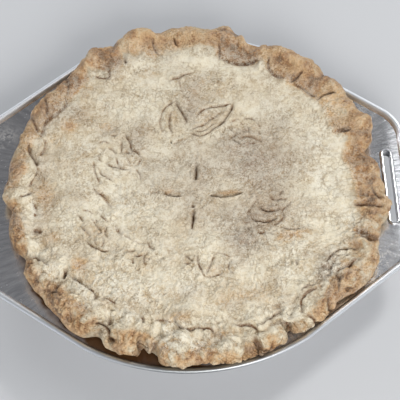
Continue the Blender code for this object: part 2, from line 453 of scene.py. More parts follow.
def new_group(name: str, output: str, **inputs: float) -> tuple[Bench, Socket, dict[str, Socket], Socket]:
    """Start a node group of plain numbers.

    Args:
        name: the group's name.
        output: the name of its output.
        inputs: its inputs with their usual values.

    Returns:
        The bench, the place on the object, the inner sockets of the inputs by name, and that of the output.
    """
    tree = bpy.data.node_groups.new(name, "ShaderNodeTree")
    for label, value in inputs.items():
        socket = tree.interface.new_socket(label, in_out="INPUT", socket_type="NodeSocketFloat")
        socket.default_value = value
    tree.interface.new_socket(output, in_out="OUTPUT", socket_type="NodeSocketFloat")
    bench = Bench(tree)
    entry, leave = bench.node("NodeGroupInput"), bench.node("NodeGroupOutput")
    return bench, bench.place(), {label: entry.outputs[label] for label in inputs}, leave.inputs[output]


def speck_group() -> Tree:
    """Scattered specks, such as flour, pits or crumbs: scale a metre, and share covered.

    Returns:
        The group, whose mask is 1 on a speck.
    """
    bench, place, given, wanted = new_group("specks", "Mask", Scale=900.0, Cover=0.3)
    cells = bench.node("ShaderNodeTexVoronoi", {"Vector": place, "Scale": given["Scale"]}, feature="F1")
    patches = bench.noise(place, bench.times(given["Scale"], 0.22), 2.0)
    reach = bench.times(given["Cover"], bench.span(patches, 0.15, 0.75))
    inside = bench.minus(reach, bench.times(cells.outputs["Distance"], 0.8))
    bench.plug(wanted, bench.span(inside, -0.1, 0.2))
    return bench.tree


def mottle_group() -> Tree:
    """Cloudy variation round zero: coarse scale a metre, and strength.

    Returns:
        The group.
    """
    bench, place, given, wanted = new_group("mottle", "Value", Scale=150.0, Strength=1.0)
    coarse = bench.noise(place, given["Scale"], 3.0)
    fine = bench.noise(place, bench.times(given["Scale"], 5.3), 3.0, 0.7)
    both = bench.plus(bench.times(coarse, 1.2), bench.times(fine, 0.8))
    bench.plug(wanted, bench.times(bench.minus(both, 1.0), given["Strength"]))
    return bench.tree


# ---------------------------------------------------------------------------
# Finishes


@dataclass(frozen=True)
class CrustFinish:
    """Floury pastry that turns from cream to brown where it baked most.

    Scales are in lumps a metre. A pair is a scale with a strength or with a share covered.
    """

    floury: Colour = (0.79, 0.705, 0.535)
    cream: Colour = (0.63, 0.515, 0.35)
    golden: Colour = (0.69, 0.465, 0.25)
    brown: Colour = (0.48, 0.265, 0.12)
    # the most baked brown, also the painted shade of the creases
    crease_shade_and_brown: Colour = (0.26, 0.15, 0.075)
    stops: Row = (0.06, 0.28, 0.55, 0.82, 1.0)      # how baked the crust is at each colour above
    # painted shade deepest in the creases
    dark: Colour = (0.17, 0.08, 0.035)
    blush: Colour = (0.445, 0.345, 0.26)
    flour: Colour = (0.93, 0.885, 0.755)
    pit: Colour = (0.67, 0.54, 0.39)
    clouds: Pair = (130.0, 0.12)
    pores: Pair = (900.0, 0.36)
    dust: Pair = (1300.0, 0.85)
    dust_strength: float = 0.7
    pits: Pair = (760.0, 0.5)
    pit_strength: float = 0.36
    rugged: float = 55.0            # areas of coarser crust
    plates: float = 260.0           # plates of cracked flour
    plate_sway: float = 4.0         # millimetres
    crack_strength: float = 0.55
    cracked: float = 95.0           # areas with cracks
    grains: float = 820.0           # grains of sugar and flour
    flakes: float = 620.0
    dents: float = 0.5              # depth of pits and cracks beside the grains
    bump: Pair = (0.9, 0.7)         # strength and depth
    roughness: float = 0.82
    gloss: float = 0.45             # roughness lost where baked

    def build(self, mottle: Tree, specks: Tree) -> Material:
        """Make the material.

        Args:
            mottle: the cloudy variation group.
            specks: the scattered specks group.

        Returns:
            The material, which reads the masks for browning with some painted shade, blush, flour, and
            painted shade with browning in the creases.
        """
        material, bench, place = Bench.for_material("baked_crust")
        bake_and_shade, dull, shaded_creases = (bench.mask(name) for name in ("bake_and_shade", "blush", "crease_shade_and_brown"))
        coarse = bench.plus(dull, bake_and_shade, clamp=True)
        rugged = bench.span(bench.noise(place, self.rugged, 2.0), 0.40, 0.62, 0.35, 1.25)
        rugged = bench.plus(rugged, bench.times(coarse, 0.8))
        clouds = bench.group(mottle, Scale=self.clouds[0], Strength=self.clouds[1])
        pores = bench.group(mottle, Scale=self.pores[0], Strength=self.pores[1])
        baked = bench.plus(bake_and_shade, bench.plus(clouds, bench.times(pores, rugged)), clamp=True)
        tones = (self.floury, self.cream, self.golden, self.brown, self.crease_shade_and_brown)
        colour = bench.ramp(baked, tuple(zip(self.stops, tones)))
        colour = bench.mix(bench.times(dull, 0.9, clamp=True), colour, self.blush)
        # Creases get painted shade, with some browning.
        colour = bench.mix(bench.times(shaded_creases, 0.95, clamp=True), colour, self.crease_shade_and_brown)
        colour = bench.mix(bench.minus(shaded_creases, 1.0, clamp=True), colour, self.dark)
        dust = bench.group(specks, Scale=self.dust[0], Cover=self.dust[1])
        dust = bench.times(dust, bench.times(bench.mask("flour"), self.dust_strength), clamp=True)
        colour = bench.mix(dust, colour, self.flour)
        pits = bench.times(bench.group(specks, Scale=self.pits[0], Cover=self.pits[1]), rugged)
        colour = bench.mix(bench.times(pits, self.pit_strength), colour, self.pit, "MULTIPLY")
        cracks = self.cracks(bench, place)
        colour = bench.mix(bench.times(cracks, self.crack_strength), colour, self.pit, "MULTIPLY")
        cells = bench.node("ShaderNodeTexVoronoi", {"Vector": place, "Scale": self.grains}, feature="F1")
        grit = bench.minus(1.0, cells.outputs["Distance"])
        grit = bench.times(grit, bench.plus(0.3, bench.times(coarse, 1.3)))
        flake = bench.times(bench.noise(place, self.flakes, 3.0, 0.65), bench.plus(0.7, coarse))
        height = bench.minus(bench.plus(grit, flake), bench.times(bench.plus(pits, cracks), self.dents))
        rough = bench.minus(self.roughness, bench.times(baked, self.gloss))
        bench.surface(height, self.bump, Base_Color=colour, Roughness=rough, Specular_IOR_Level=0.45)
        return material

    def cracks(self, bench: Bench, place: Socket) -> Socket:
        """Lines between plates of dried flour.

        Args:
            bench: the material's bench.
            place: place on the object.

        Returns:
            A mask that is 1 in a crack.
        """
        wander = bench.node("ShaderNodeTexNoise", {"Vector": place, "Scale": 420.0}).outputs["Color"]
        given = {0: wander, 1: (self.plate_sway * MM,) * 3, 2: place}
        swayed = bench.node("ShaderNodeVectorMath", given, operation="MULTIPLY_ADD")
        given = {"Vector": swayed.outputs[0], "Scale": self.plates}
        plates = bench.node("ShaderNodeTexVoronoi", given, feature="DISTANCE_TO_EDGE")
        where = bench.span(bench.noise(place, self.cracked, 2.0), 0.42, 0.62)
        return bench.times(bench.span(plates.outputs["Distance"], 0.07, 0.0), where)


@dataclass(frozen=True)
class MetalFinish:
    """Satin sheet metal with faint puckers that run out from the bowl."""

    metal: Colour = (0.68, 0.68, 0.70)
    smudge: Colour = (0.56, 0.55, 0.56)
    streak: Colour = (0.92, 0.91, 0.91)
    polished: Colour = (0.92, 0.94, 0.97)
    shade: Colour = (0.07, 0.08, 0.08)
    flour: Colour = (0.80, 0.77, 0.70)
    # browned juice, also painted shadow beside the crust's edge
    stain_and_shadow: Colour = (0.075, 0.034, 0.014)
    pucker_turns: float = 46.0      # puckers for each radian round the dish
    pucker_reach: float = 60.0      # changes a metre along them
    streak_strength: float = 0.55
    scratches: float = 0.02         # height beside the puckers
    bump: Pair = (0.5, 0.2)         # strength and depth
    roughness: float = 0.20
    polish_roughness: float = 0.22  # added where polished

    def build(self, mottle: Tree, specks: Tree) -> Material:
        """Make the material.

        Args:
            mottle: the cloudy variation group.
            specks: the scattered specks group.

        Returns:
            The material, which reads the masks for juice stain with painted shadow, polish, painted shade and
            dust.
        """
        material, bench, place = Bench.for_material("satin_metal")
        split = bench.node("ShaderNodeSeparateXYZ", {0: place})
        x, y = split.outputs[0], split.outputs[1]
        turn = bench.times(bench.math("ARCTAN2", y, x), self.pucker_turns)
        square = bench.plus(bench.times(x, x), bench.times(y, y))
        out = bench.times(bench.math("SQRT", square), self.pucker_reach)
        rays = bench.node("ShaderNodeCombineXYZ", {0: turn, 1: out})
        puckers = bench.noise(rays.outputs[0], 1.0, 3.0, 0.6)
        smears = bench.group(mottle, Scale=60.0, Strength=0.5)
        crumbs = bench.group(specks, Scale=420.0, Cover=0.24)
        polish, stain_and_shadow = bench.mask("polish"), bench.mask("stain_and_shadow")
        colour = bench.mix(bench.plus(smears, 0.4, clamp=True), self.metal, self.smudge)
        streaks = bench.times(bench.span(puckers, 0.36, 0.64), self.streak_strength)
        colour = bench.mix(streaks, colour, self.streak)
        colour = bench.mix(polish, colour, self.polished)
        colour = bench.mix(bench.mask("shade"), colour, self.shade)
        # Juice stain, with painted shadow beside the crust's edge.
        colour = bench.mix(stain_and_shadow, colour, self.stain_and_shadow)
        flour = bench.times(bench.group(specks, Scale=900.0, Cover=0.75), bench.mask("dust"), clamp=True)
        colour = bench.mix(flour, colour, self.flour)
        rough = bench.plus(self.roughness, bench.times(smears, 0.12))
        rough = bench.plus(rough, bench.times(crumbs, 0.1), clamp=True)
        rough = bench.plus(rough, bench.times(polish, self.polish_roughness), clamp=True)
        height = bench.plus(puckers, bench.times(bench.noise(place, 900.0, 2.0), self.scratches))
        bare = bench.minus(1.0, bench.plus(flour, stain_and_shadow, clamp=True))
        bench.surface(height, self.bump, Base_Color=colour, Roughness=rough, Metallic=bare)
        return material


# ---------------------------------------------------------------------------
# Marks and areas


def polar(degrees: float, radius: float) -> Place:
    """Place at a direction and distance from the middle."""
    return radius * math.cos(math.radians(degrees)), radius * math.sin(math.radians(degrees))


def way_round(points: Array) -> Array:
    """Direction of each point from the middle, in degrees."""
    return np.degrees(np.arctan2(points[:, 1], points[:, 0]))


@dataclass(frozen=True)
class Stroke:
    """A line pressed, cut or folded into the crust.

    Attributes:
        points: places on the stencil that the line runs through.
        depth: depth of the line; below 0 it is a ridge.
        width: half its width.
        tone: how much painted shade and browning darken the line.
        lift: height of the dough on the left of the line over the dough on its right.
        fall: how far from the line the lift fades out.
    """

    points: tuple[Place, ...]
    depth: float
    width: float
    tone: float
    lift: float = 0.0
    fall: float = 5.0

    def press(self, plan: Array) -> tuple[Array, Array, Array]:
        """Effect of the line near it.

        Args:
            plan: places on the stencil, one row each.

        Returns:
            Numbers of the rows that it touches, their rise, and their darkening with painted shade and
            browning.
        """
        path = smooth_path(np.array(self.points, float), 6)
        reach = max(4.0 * self.width, 2.5 * self.fall if self.lift else 0.0)
        low, high = path.min(axis=0) - reach, path.max(axis=0) + reach
        rows = np.nonzero(((plan > low) & (plan < high)).all(axis=1))[0]
        spots = plan[rows]
        best = np.full(len(rows), np.inf)
        side, along = np.zeros(len(rows)), np.zeros(len(rows))
        run = 0.0
        for start, end in zip(path, path[1:]):
            way = end - start
            length = float(np.hypot(*way))
            share = np.clip(((spots - start) @ way) / length ** 2, 0.0, 1.0)
            off = spots - start - share[:, None] * way
            distance = np.hypot(off[:, 0], off[:, 1])
            nearer = distance < best
            best = np.where(nearer, distance, best)
            side = np.where(nearer, np.sign(way[0] * off[:, 1] - way[1] * off[:, 0]), side)
            along = np.where(nearer, run + share * length, along)
            run += length
        taper = min(0.35 * run, 3.0 + self.width)
        ends = np.clip(np.minimum(along, run - along) / taper, 0.0, 1.0)
        line, flank, shoulder = (np.exp(-((best / self.width - out) / wide) ** 2) * np.sqrt(ends)
                                 for out, wide in ((0.0, 1.0), (0.0, 2.3), (3.6, 1.4)))
        rise = self.depth * (0.3 * shoulder - line - 0.25 * flank)
        if self.lift:
            over = 0.5 + 0.5 * np.tanh(side * best / (0.6 * self.width))
            rise += self.lift * over * np.exp(-(best / self.fall) ** 2) * ends
        return rows, rise, self.tone * line * min(1.0, 0.6 + 0.5 * abs(self.depth))


@dataclass(frozen=True)
class Motif:
    """Group of lines in the crust.

    Attributes:
        rows: the lines. Each has its values first: depth and width, then lift, fall and tone where
            it has them. Two numbers follow for each place that it runs through.
        tone: painted shade and browning of the lines that name none.
        around: whether the places are directions and radii.
    """

    rows: tuple[tuple, ...]
    tone: float = 1.25
    around: bool = False

    def strokes(self) -> list[Stroke]:
        """The lines, in order.

        Returns:
            One stroke for each row.
        """
        made = []
        for values, *run in self.rows:
            places = tuple(zip(run[::2], run[1::2]))
            if self.around:
                places = tuple(polar(*place) for place in places)
            given = {"tone": self.tone} | dict(zip(("depth", "width", "lift", "fall", "tone"), values))
            made.append(Stroke(places, **given))
        return made


@dataclass(frozen=True)
class Spot:
    """An oval area that swells, sinks or tints the crust by an amount."""

    x: float
    y: float
    along: float
    across: float
    amount: float
    turn: float = 0.0
    edge: Edge = Edge.SOFT

    def at(self, plan: Array) -> Array:
        """Amount at each place on the stencil.

        Args:
            plan: places on the stencil, one row each.

        Returns:
            One amount for each place.
        """
        cos_t, sin_t = math.cos(math.radians(self.turn)), math.sin(math.radians(self.turn))
        off_x, off_y = plan[:, 0] - self.x, plan[:, 1] - self.y
        u = (off_x * cos_t + off_y * sin_t) / self.along
        v = (off_y * cos_t - off_x * sin_t) / self.across
        square = u * u + v * v
        if self.edge is Edge.SOFT:
            return self.amount * np.exp(-square)
        return self.amount * np.clip(1.0 - square, 0.0, 1.0) ** 0.6


@dataclass(frozen=True)
class Spots:
    """Group of oval areas: a row is two numbers for the place, two spreads, the amount, and a turn if any.

    Attributes:
        flat: areas placed by x and y.
        rim: areas placed by direction and radius, which lie along the radius.
        crisp: areas placed like those of the rim, which end at a line.
    """

    flat: tuple[Row, ...] = ()
    rim: tuple[Row, ...] = ()
    crisp: tuple[Row, ...] = ()

    def at(self, plan: Array) -> Array:
        """Sum of the soft areas at each place, with the largest of the crisp ones.

        Args:
            plan: places on the stencil, one row each.

        Returns:
            One amount for each place.
        """
        soft, crisp = np.zeros(len(plan)), np.zeros(len(plan))
        for row in self.flat:
            soft += Spot(*row).at(plan)
        for row in self.rim:
            soft += self.on_rim(Edge.SOFT, *row).at(plan)
        for row in self.crisp:
            crisp = np.maximum(crisp, self.on_rim(Edge.CRISP, *row).at(plan))
        return soft + crisp

    @staticmethod
    def on_rim(edge: Edge, degrees: float, radius: float, deep: float, wide: float, amount: float,
               lean: float = 0.0) -> Spot:
        """A spot on the rim, with its length out from the middle, turned by a lean."""
        return Spot(*polar(degrees, radius), deep, wide, amount, degrees + lean, edge)


LEAVES = Motif((        # two large leaves above the middle of the lid
    ((1.7, 0.65, 0.9), -5.5, 67, -4, 62.5, -2, 58, 0, 53.5, 1, 51, 1, 47.5),
    ((0.8, 0.6, -0.4), -6, 66.5, -10, 63.5, -13, 60, -15, 55, -16, 50.5, -15.5, 44, -14, 40.5),
    ((1.2, 0.6, 0.5), -8.5, 58, -9.5, 53, -10, 48, -9.5, 43, -8, 40),
    ((1.3, 0.65, 0.7), 9, 53, 11, 56.5, 14.5, 59, 19.5, 60.2, 25.5, 60.8, 30, 62, 32.5, 62.5),
    ((1.9, 0.75, 1.1, 6), 32.5, 62.5, 32, 58, 29.5, 53.5, 27, 50.5, 25, 47, 20.5, 43.5),
    ((1.1, 0.6, 0.5), 22, 44.5, 16.5, 40, 12, 37.5, 7.5, 37.5, 3.5, 40),
    ((0.95, 0.55, 0.4), 4, 42.5, 8, 44, 12.5, 46, 16, 49, 20, 51.5, 23.5, 54.5),
    ((0.45, 0.5), 6, 40.5, 12, 41, 18.5, 45, 21.5, 47),
    ((1.1, 0.6, 0.6), -9, 82.5, -6, 84.5, -2, 85.5, 2, 88, 7.5, 89),
    ((0.5, 0.7, -0.3), -2.5, 84.5, -1.5, 80, -1, 75, 0.5, 73),
    ((2.2, 0.9, 0, 5, 1.5), -9.6, 32.4, -9.2, 32.6, -8.8, 32.6),
    ((0.6, 0.5), -8.5, 29.5, -6, 32, -3.5, 34.5),
))

BLOSSOM = Motif((       # open flower on the right of the leaves
    ((1.1, 0.6, -0.6), 28, 44.5, 30, 41.5, 32.5, 39, 33, 37, 30.5, 35.5, 32.5, 32, 37, 28),
    ((0.7, 0.55, 0.3), 30, 46.5, 34.5, 48.5, 37, 48),
    ((1, 0.6, 0.5), 39, 49, 43, 50, 47, 47.5),
    ((0.7, 0.6), 47.5, 45.5, 50, 41.5),
    ((1.3, 0.6), 37.3, 41.2, 39.7, 38.3),
    ((1.1, 0.55), 39, 42, 41.5, 38.5),
    ((1.3, 0.6), 42, 43.5, 42, 37.5),
    ((1.2, 0.6), 48.5, 39.5, 49, 36),
    ((1.1, 0.6), 48.5, 33, 50, 30),
    ((1.2, 0.6, 0.5), 37, 34, 40, 35, 42.5, 35, 46, 33.5, 48, 32),
    ((0.5, 0.6), 36.5, 47.5, 39, 44.5),
    ((0.5, 0.6), 40, 30.5, 43, 29, 46.5, 30),
))

ROSE = Motif((          # rose with its sprig on the left of the lid
    ((0.7, 0.6), -57, 34.5, -53, 36, -50, 34),
    ((1.2, 0.6, 0.5), -51, 31, -47.5, 28.5, -45.5, 25.5),
    ((0.9, 0.6), -49, 40.5, -44.5, 40),
    ((1.3, 0.65, 0.5), -42, 36.5, -42, 31, -42.5, 26),
    ((1.3, 0.6, 0.6), -39.5, 42, -38, 38, -36, 33.5, -35.5, 28.5, -32.5, 26.5, -30, 23),
    ((1, 0.6, -0.5), -30, 23.5, -30.5, 18.5, -32.5, 15),
    ((0.9, 0.6), -41, 26, -38.5, 26.5, -35, 25),
    ((1.3, 0.6, 0.6), -53, 20, -50, 17, -45, 15, -41.5, 13.5, -36.5, 13),
    ((0.7, 0.6), -45.5, 22.5, -45, 18.5, -44, 15),
    ((1.2, 0.65, 0.5), -57.5, 15, -55.5, 10.5, -52.5, 8.5, -48, 4),
    ((0.9, 0.6, 0.3), -60.5, 20, -60, 13.5, -58.5, 8.5, -56.5, 3),
    ((0.9, 0.65), -33, 14, -31, 9, -30.5, 5),
    ((1.1, 0.8, 0.7), -61.5, 0, -58.5, -3.5, -54.5, -6.5, -52, -11.5, -49, -15.5),
    ((0.6, 0.6), -36.5, -4, -35, -7.5),
    ((0.5, 0.7), -39, 22, -37, 18.5, -39, 15.5),
    ((0.45, 0.7), -55, 27, -57, 23, -55, 19),
))

POSY = Motif((          # large and small flower at the front left of the lid
    ((1.3, 0.6), -71.8, -19.5, -70, -21, -67.5, -25),
    ((0.7, 0.55), -68.5, -16.5, -64, -18, -61, -20),
    ((1.4, 0.6, -0.5), -70, -27.5, -67, -32, -63.5, -36.5),
    ((1.1, 0.6, -0.5), -66.5, -39, -64, -43, -60, -46, -55.5, -48, -50.5, -46.5),
    ((1.3, 0.55, 0.4), -63, -23.5, -60, -27.5, -57, -32.5, -56, -35.5),
    ((1, 0.5), -59.5, -23.5, -59, -27.5),
    ((1, 0.6, 0.4), -57.5, -19.5, -55, -23.5, -52, -27.5),
    ((1.5, 0.6), -53.5, -30, -54, -34.5, -52, -38.5),
    ((0.6, 0.5), -60, -35.5, -58, -35, -56, -34),
    ((0.6, 0.5), -55.5, -38, -55.5, -42.5, -57, -45.5),
    ((0.6, 0.5), -61, -37.5, -60.5, -42, -58.5, -44),
    ((1.1, 0.9, 0.4), -47.5, -29, -46, -33, -43, -37.5),
    ((0.9, 0.6), -42.5, -37.5, -39, -39.5, -37.5, -41),
    ((1.2, 0.6), -41.5, -50, -37, -48.5, -35, -49),
    ((1.2, 0.6), -37.8, -54, -36.8, -58.5),
    ((1.2, 0.6), -36.5, -52, -32.5, -53, -29, -52.5),
    ((1.3, 0.55), -27, -50.5, -29.5, -52.5, -30, -57, -28.5, -60),
    ((0.9, 0.5), -29.5, -55, -26, -55),
    ((1.1, 0.6, 0.4), -28, -42, -26, -46, -23, -49.5),
    ((0.7, 0.55), -37, -41.5, -32, -43.5, -28.5, -43.5),
))

SCALLOPS = Motif((      # overlapping scallops on the right of the lid
    ((1.1, 0.6, 0.4), 52, -11, 54, -14.5, 58, -15, 63.5, -14.5),
    ((0.7, 0.55), 61, -8, 59, -11.5, 58, -13.5),
    ((1.5, 0.65, 0.6), 44, -18.5, 47, -22, 51.5, -24, 56, -23, 58.5, -21.5),
    ((0.6, 0.5), 52.5, -17.5, 52.5, -22),
    ((1.5, 0.65, 0.6), 38.5, -25, 41, -29, 45, -31, 50, -31.5, 56, -29.5),
    ((1, 0.6), 37, -33, 37.5, -37.5),
    ((1.2, 0.6, 0.5), 41, -38, 44.5, -40, 48.5, -39),
    ((0.8, 0.6), 50.5, -40, 52.5, -42.5),
    ((0.9, 0.6, 0.5), 66.5, -16, 63.5, -20, 59.5, -24, 60, -28.5, 57, -32.5, 52.5, -35.5),
    ((0.7, 0.6, -0.4), 44, -13, 42.5, -16.5, 38, -23, 36, -30, 35.5, -34.5),
    ((0.8, 0.5, 0.6), 57, -36.5, 62, -38, 69, -38, 73, -36),
    ((1.3, 0.6), 65, -60.5, 66, -65),
))

SMALL_LEAVES = Motif((  # leaves in front of the middle of the lid
    ((1.1, 0.6), -4.5, -53, -2, -56, 1, -59),
    ((1, 0.6), -5.5, -60, -1, -60),
    ((1.2, 0.65, 0.5), 3.5, -53, 4, -59, 5.5, -65, 8, -71),
    ((1.3, 0.65, 0.4), 14.5, -54.5, 12, -61, 8.5, -68.5),
    ((0.9, 0.6, -0.4), 8, -70.5, 13.5, -70, 19.5, -67.5),
    ((1.1, 0.6, 0.4), 25, -59, 23, -62, 23, -66, 26, -69),
    ((0.6, 0.55), 14.5, -54.5, 19, -54, 24.5, -57.5),
))

VENTS = Motif((         # knife cuts that let out steam, each with one sloping side
    ((0.9, 0.9, 0, 5, 0.9), -25, -5.2, -22, -5.8, -18.7, -5.6),
    ((2.6, 0.55, -1.2, 1.7, 2.2), -16.5, -6.5, -12, -8.1, -8, -8.8, -4.4, -8.9),
    ((2.8, 0.55, -1.5, 2.4, 2.2), 13.8, -9.6, 18.4, -10.9, 22.4, -11.4, 25.5, -11.3, 29, -10.8, 34.6, -9.2),
    ((3, 0.8, 0, 5, 1.7), 5.2, 2.5, 5.5, 8, 6, 15.6),
    ((0.8, 0.6, 0, 5, 0.8), 6.5, 18.5, 6.6, 22.5),
    ((1.8, 0.8, 0, 5, 1.5), 2.4, -16, 2.7, -18.5),
    ((2.8, 0.75, 0.5, 3, 1.7), 2.7, -20, 1.9, -28, 0.5, -34.5),
))

RIM_FOLDS = Motif((     # creases, flaps and ridges, anticlockwise from the right wing
    ((1.8, 0.8), 18.7, 116, 19, 111, 20, 107.5),
    ((2, 0.72, -2.6, 6), 35, 108, 35, 114, 34.5, 119, 33.5, 123),
    ((0.8, 0.72, -1.4), 35.5, 110, 40, 108.5, 46, 107),
    ((2.1, 0.8), 46.8, 106, 46.5, 112, 47, 119),
    ((0.9, 0.72, -1.4), 49.5, 107, 53, 106, 55.5, 107.5, 58, 111, 59, 117),
    ((-1.1, 1.3, 0, 5, 0), 60.5, 104, 60.5, 111, 60.8, 118),
    ((0.9, 0.8, -1.4), 62, 111, 66, 104.5, 70, 102.5, 75, 104),
    ((1.4, 0.64), 75.5, 103, 76, 110, 77, 118),
    ((1.7, 0.64, 1.3), 90.3, 112, 91.5, 114, 92, 120),
    ((0.8, 0.72), 98, 106, 99, 114, 98.5, 121),
    ((-1.2, 1.1, 0, 5, 0), 106.5, 125, 108, 112, 110.5, 107),
    ((1.6, 0.72), 110.5, 106, 110.3, 110),
    ((0.7, 0.8, 1, 4), 117, 109, 118, 103, 119.5, 100.5, 121, 102, 123.5, 107),
    ((-1.2, 1.1, 0, 5, 0), 122, 122, 123, 115, 124, 107),
    ((1, 0.72, -1.3), 137, 108, 138, 104, 141, 103, 146, 105, 149, 106, 152, 105, 156, 103.5),
    ((0.8, 0.8), 131, 118, 133, 112, 136, 107),
    ((0.9, 0.8), 141, 119, 144, 112, 148, 107),
    ((0.9, 0.8), 150, 117, 152.5, 111, 155, 106),
    ((1.2, 0.8, -1.9), 156, 100, 160, 97.5, 164, 99),
    ((2.5, 0.88, -2.6, 6), 160.5, 110, 164, 105.5, 166.5, 101, 169, 98.5),
    ((1, 0.72, -2.6, 6), 169, 98.5, 172, 97.5, 175, 99, 178, 103),
    ((1.8, 0.72, 1.4), 180, 99.5, 181.5, 102, 182.3, 105, 182, 109),
    ((0.7, 0.8, -1.6), 184, 101, 188, 99, 192, 101),
    ((2.1, 1.3), 197, 104, 197.5, 101.5, 199, 100),
    ((0.7, 0.72, -1.3), 206, 112, 209, 108, 213, 106.5),
    ((3.4, 0.88), 220, 105, 218.5, 101.5, 216.8, 99.5),
    ((1.3, 0.72, -2.6, 6), 220, 102, 222, 99.5, 225, 99, 229, 98.5, 232, 99.5, 233.5, 104),
    ((2.1, 1), 220.5, 119, 221, 114, 220, 109),
    ((0.9, 0.72, -1.6), 235, 99, 238, 98.5, 241, 100),
    ((2.9, 0.72, -1.9), 238.5, 118, 240, 116, 241.5, 116.5, 243, 119, 244, 123, 246, 126),
    ((1.7, 0.64), 241, 109, 242, 112, 241.8, 115),
    ((1.6, 0.72), 251, 101, 252, 103.5, 253, 106),
    ((3.4, 1), 253, 116, 253.3, 120, 254.5, 126),
    ((1.8, 0.8), 257.5, 118, 257.8, 123, 257.3, 127),
    ((2.1, 0.72, 2.2, 7), 262, 99, 263, 102, 265, 105.5, 268, 107.5, 271, 107),
    ((0.5, 0.72), 256, 103, 259, 102, 262, 103),
    ((1.3, 0.64, 1, 4), 270, 106, 272, 107, 275, 108, 276, 112),
    ((1.4, 0.72, 1.3), 283, 108, 285, 110, 288, 113, 289, 118),
    ((-1.4, 1, 0, 5, 0), 284, 119, 284, 126, 284.5, 133),
    ((2.9, 1.4), 287, 120, 287.5, 127, 287.5, 134),
    ((0.9, 0.72, -1.3, 4), 290, 114, 294, 112, 299, 111),
    ((2.5, 1), 296.5, 134, 297, 127, 297.5, 121, 296, 117),
    ((1.6, 0.64, 1.4), 303.5, 120, 304.5, 116, 307, 112, 311, 110.5, 313.5, 111),
    ((0.8, 0.64), 308, 108, 311, 107.5, 314, 108.5),
    ((1.3, 0.96), 304, 134, 305, 128, 304.5, 122),
    ((1.6, 0.72, 1.3), 316, 125, 319, 120, 322, 113),
    ((1.6, 0.72, 1.3, 4), 321, 113.5, 326, 118, 329, 122),
    ((1.3, 0.88), 310, 133, 311, 127, 314, 122),
    ((1.4, 0.64, -1.4), 323, 106, 326, 105, 329.5, 108, 331, 112, 333, 117),
    ((-1.6, 1, 0, 5, 0), 333, 128, 334, 123, 335, 118, 336.5, 113),
    ((1.5, 1.6, 0, 5, 0.8), 336, 128, 338, 121, 341, 113),
    ((1.8, 0.88, 1.3), 348.5, 107, 348.8, 115, 349, 122, 349, 127),
    ((1.2, 0.88), 352, 127, 353, 121, 356, 118),
    ((-0.8, 1.3, 0, 5, 0), 3, 120, 4, 113, 3, 107),
    ((-0.8, 1.3, 0, 5, 0), 14.5, 119, 15, 112, 13.5, 105),
), tone=1.6, around=True)

LUMPS = Spots(          # swellings and hollows of lid and rim, apart from the crimps
    flat=(
        (-7.5, -96, 9.5, 7, 2.4), (-91, -5, 8, 24, -2.6), (-94, -32, 6, 8, -1.6, 30),
        (-88, 32, 7, 16, -2, -15), (-72, 66, 7, 12, -1.2, -45), (-66, -58, 9, 6, -1.2, -30),
        (86, -46, 6, 7, -1.2), (20, -88, 12, 5, -1.2), (50, 20, 16, 14, -0.9, 20), (-60, 5, 10, 18, 0.9),
        (-45, -55, 12, 14, 0.9, 20), (84, 14, 7, 26, 1.1), (-45, -78, 12, 9, 0.8, 30),
        (-6.5, 53, 5.5, 12, -1.1, 8), (19, 51, 12.5, 7, -1.3, 32), (5, 66, 8, 8, 0.5),
        (-47, 24, 16, 20, 0.5), (-59, -32, 13, 13, 0.6), (50, -27, 14, 12, 0.5), (-34, -52, 9, 8, 0.4),
        (26.5, -8.6, 8, 1.6, -1, 4), (-11.5, -6.4, 6.5, 1.4, -0.9, -8), (-72, 50, 9, 8, 0.7),
        (62, -47, 9, 6, 0.5), (80, -52, 8, 8, 0.6),
    ),
    rim=(
        (9, 111, 9, 9, -2.2), (19.5, 108, 3.5, 2.2, -2.2), (41, 113, 7.5, 9, -1.5),
        (54, 113, 8, 8.5, -1.8), (69, 112, 9, 10, -2.2), (84, 116, 7, 8, -0.8), (98, 118, 9, 9, -1.2),
        (115.5, 116, 10, 7, -2), (130, 113, 6, 8, -0.8), (355, 117, 9, 11, -1.8),
        (338.5, 120, 7, 3, -1.6, -18), (333.5, 115, 4, 3, -1.2), (326, 112, 5, 7, -0.8),
        (288, 127, 8, 4.5, -2.2), (297, 124, 8, 3.5, -1.8), (273, 126, 8, 4, -1.2), (254, 122, 6, 3, -2.4),
        (219.5, 108, 8, 3, -1.2), (206, 112, 7, 5, -1.6), (188, 113, 7, 4, -1.6),
    ),
    crisp=(
        (172, 108, 11, 10, 2.2), (159, 108, 10, 6, 1.4), (195, 109, 9, 9, 1.3), (213, 111, 10, 9, 1.4),
        (227, 110, 12, 12, 2), (236.5, 112, 12, 7, 1.2), (248.5, 117, 14, 9, 2), (263.5, 120, 13, 9, 1.8),
        (279, 120, 12, 8, 1.5), (292.5, 121, 10, 7, 1.5), (301, 122, 10, 7, 1.5), (312, 117, 11, 10, 1.6),
        (324, 120, 11, 10, 1.8),
    ),
)


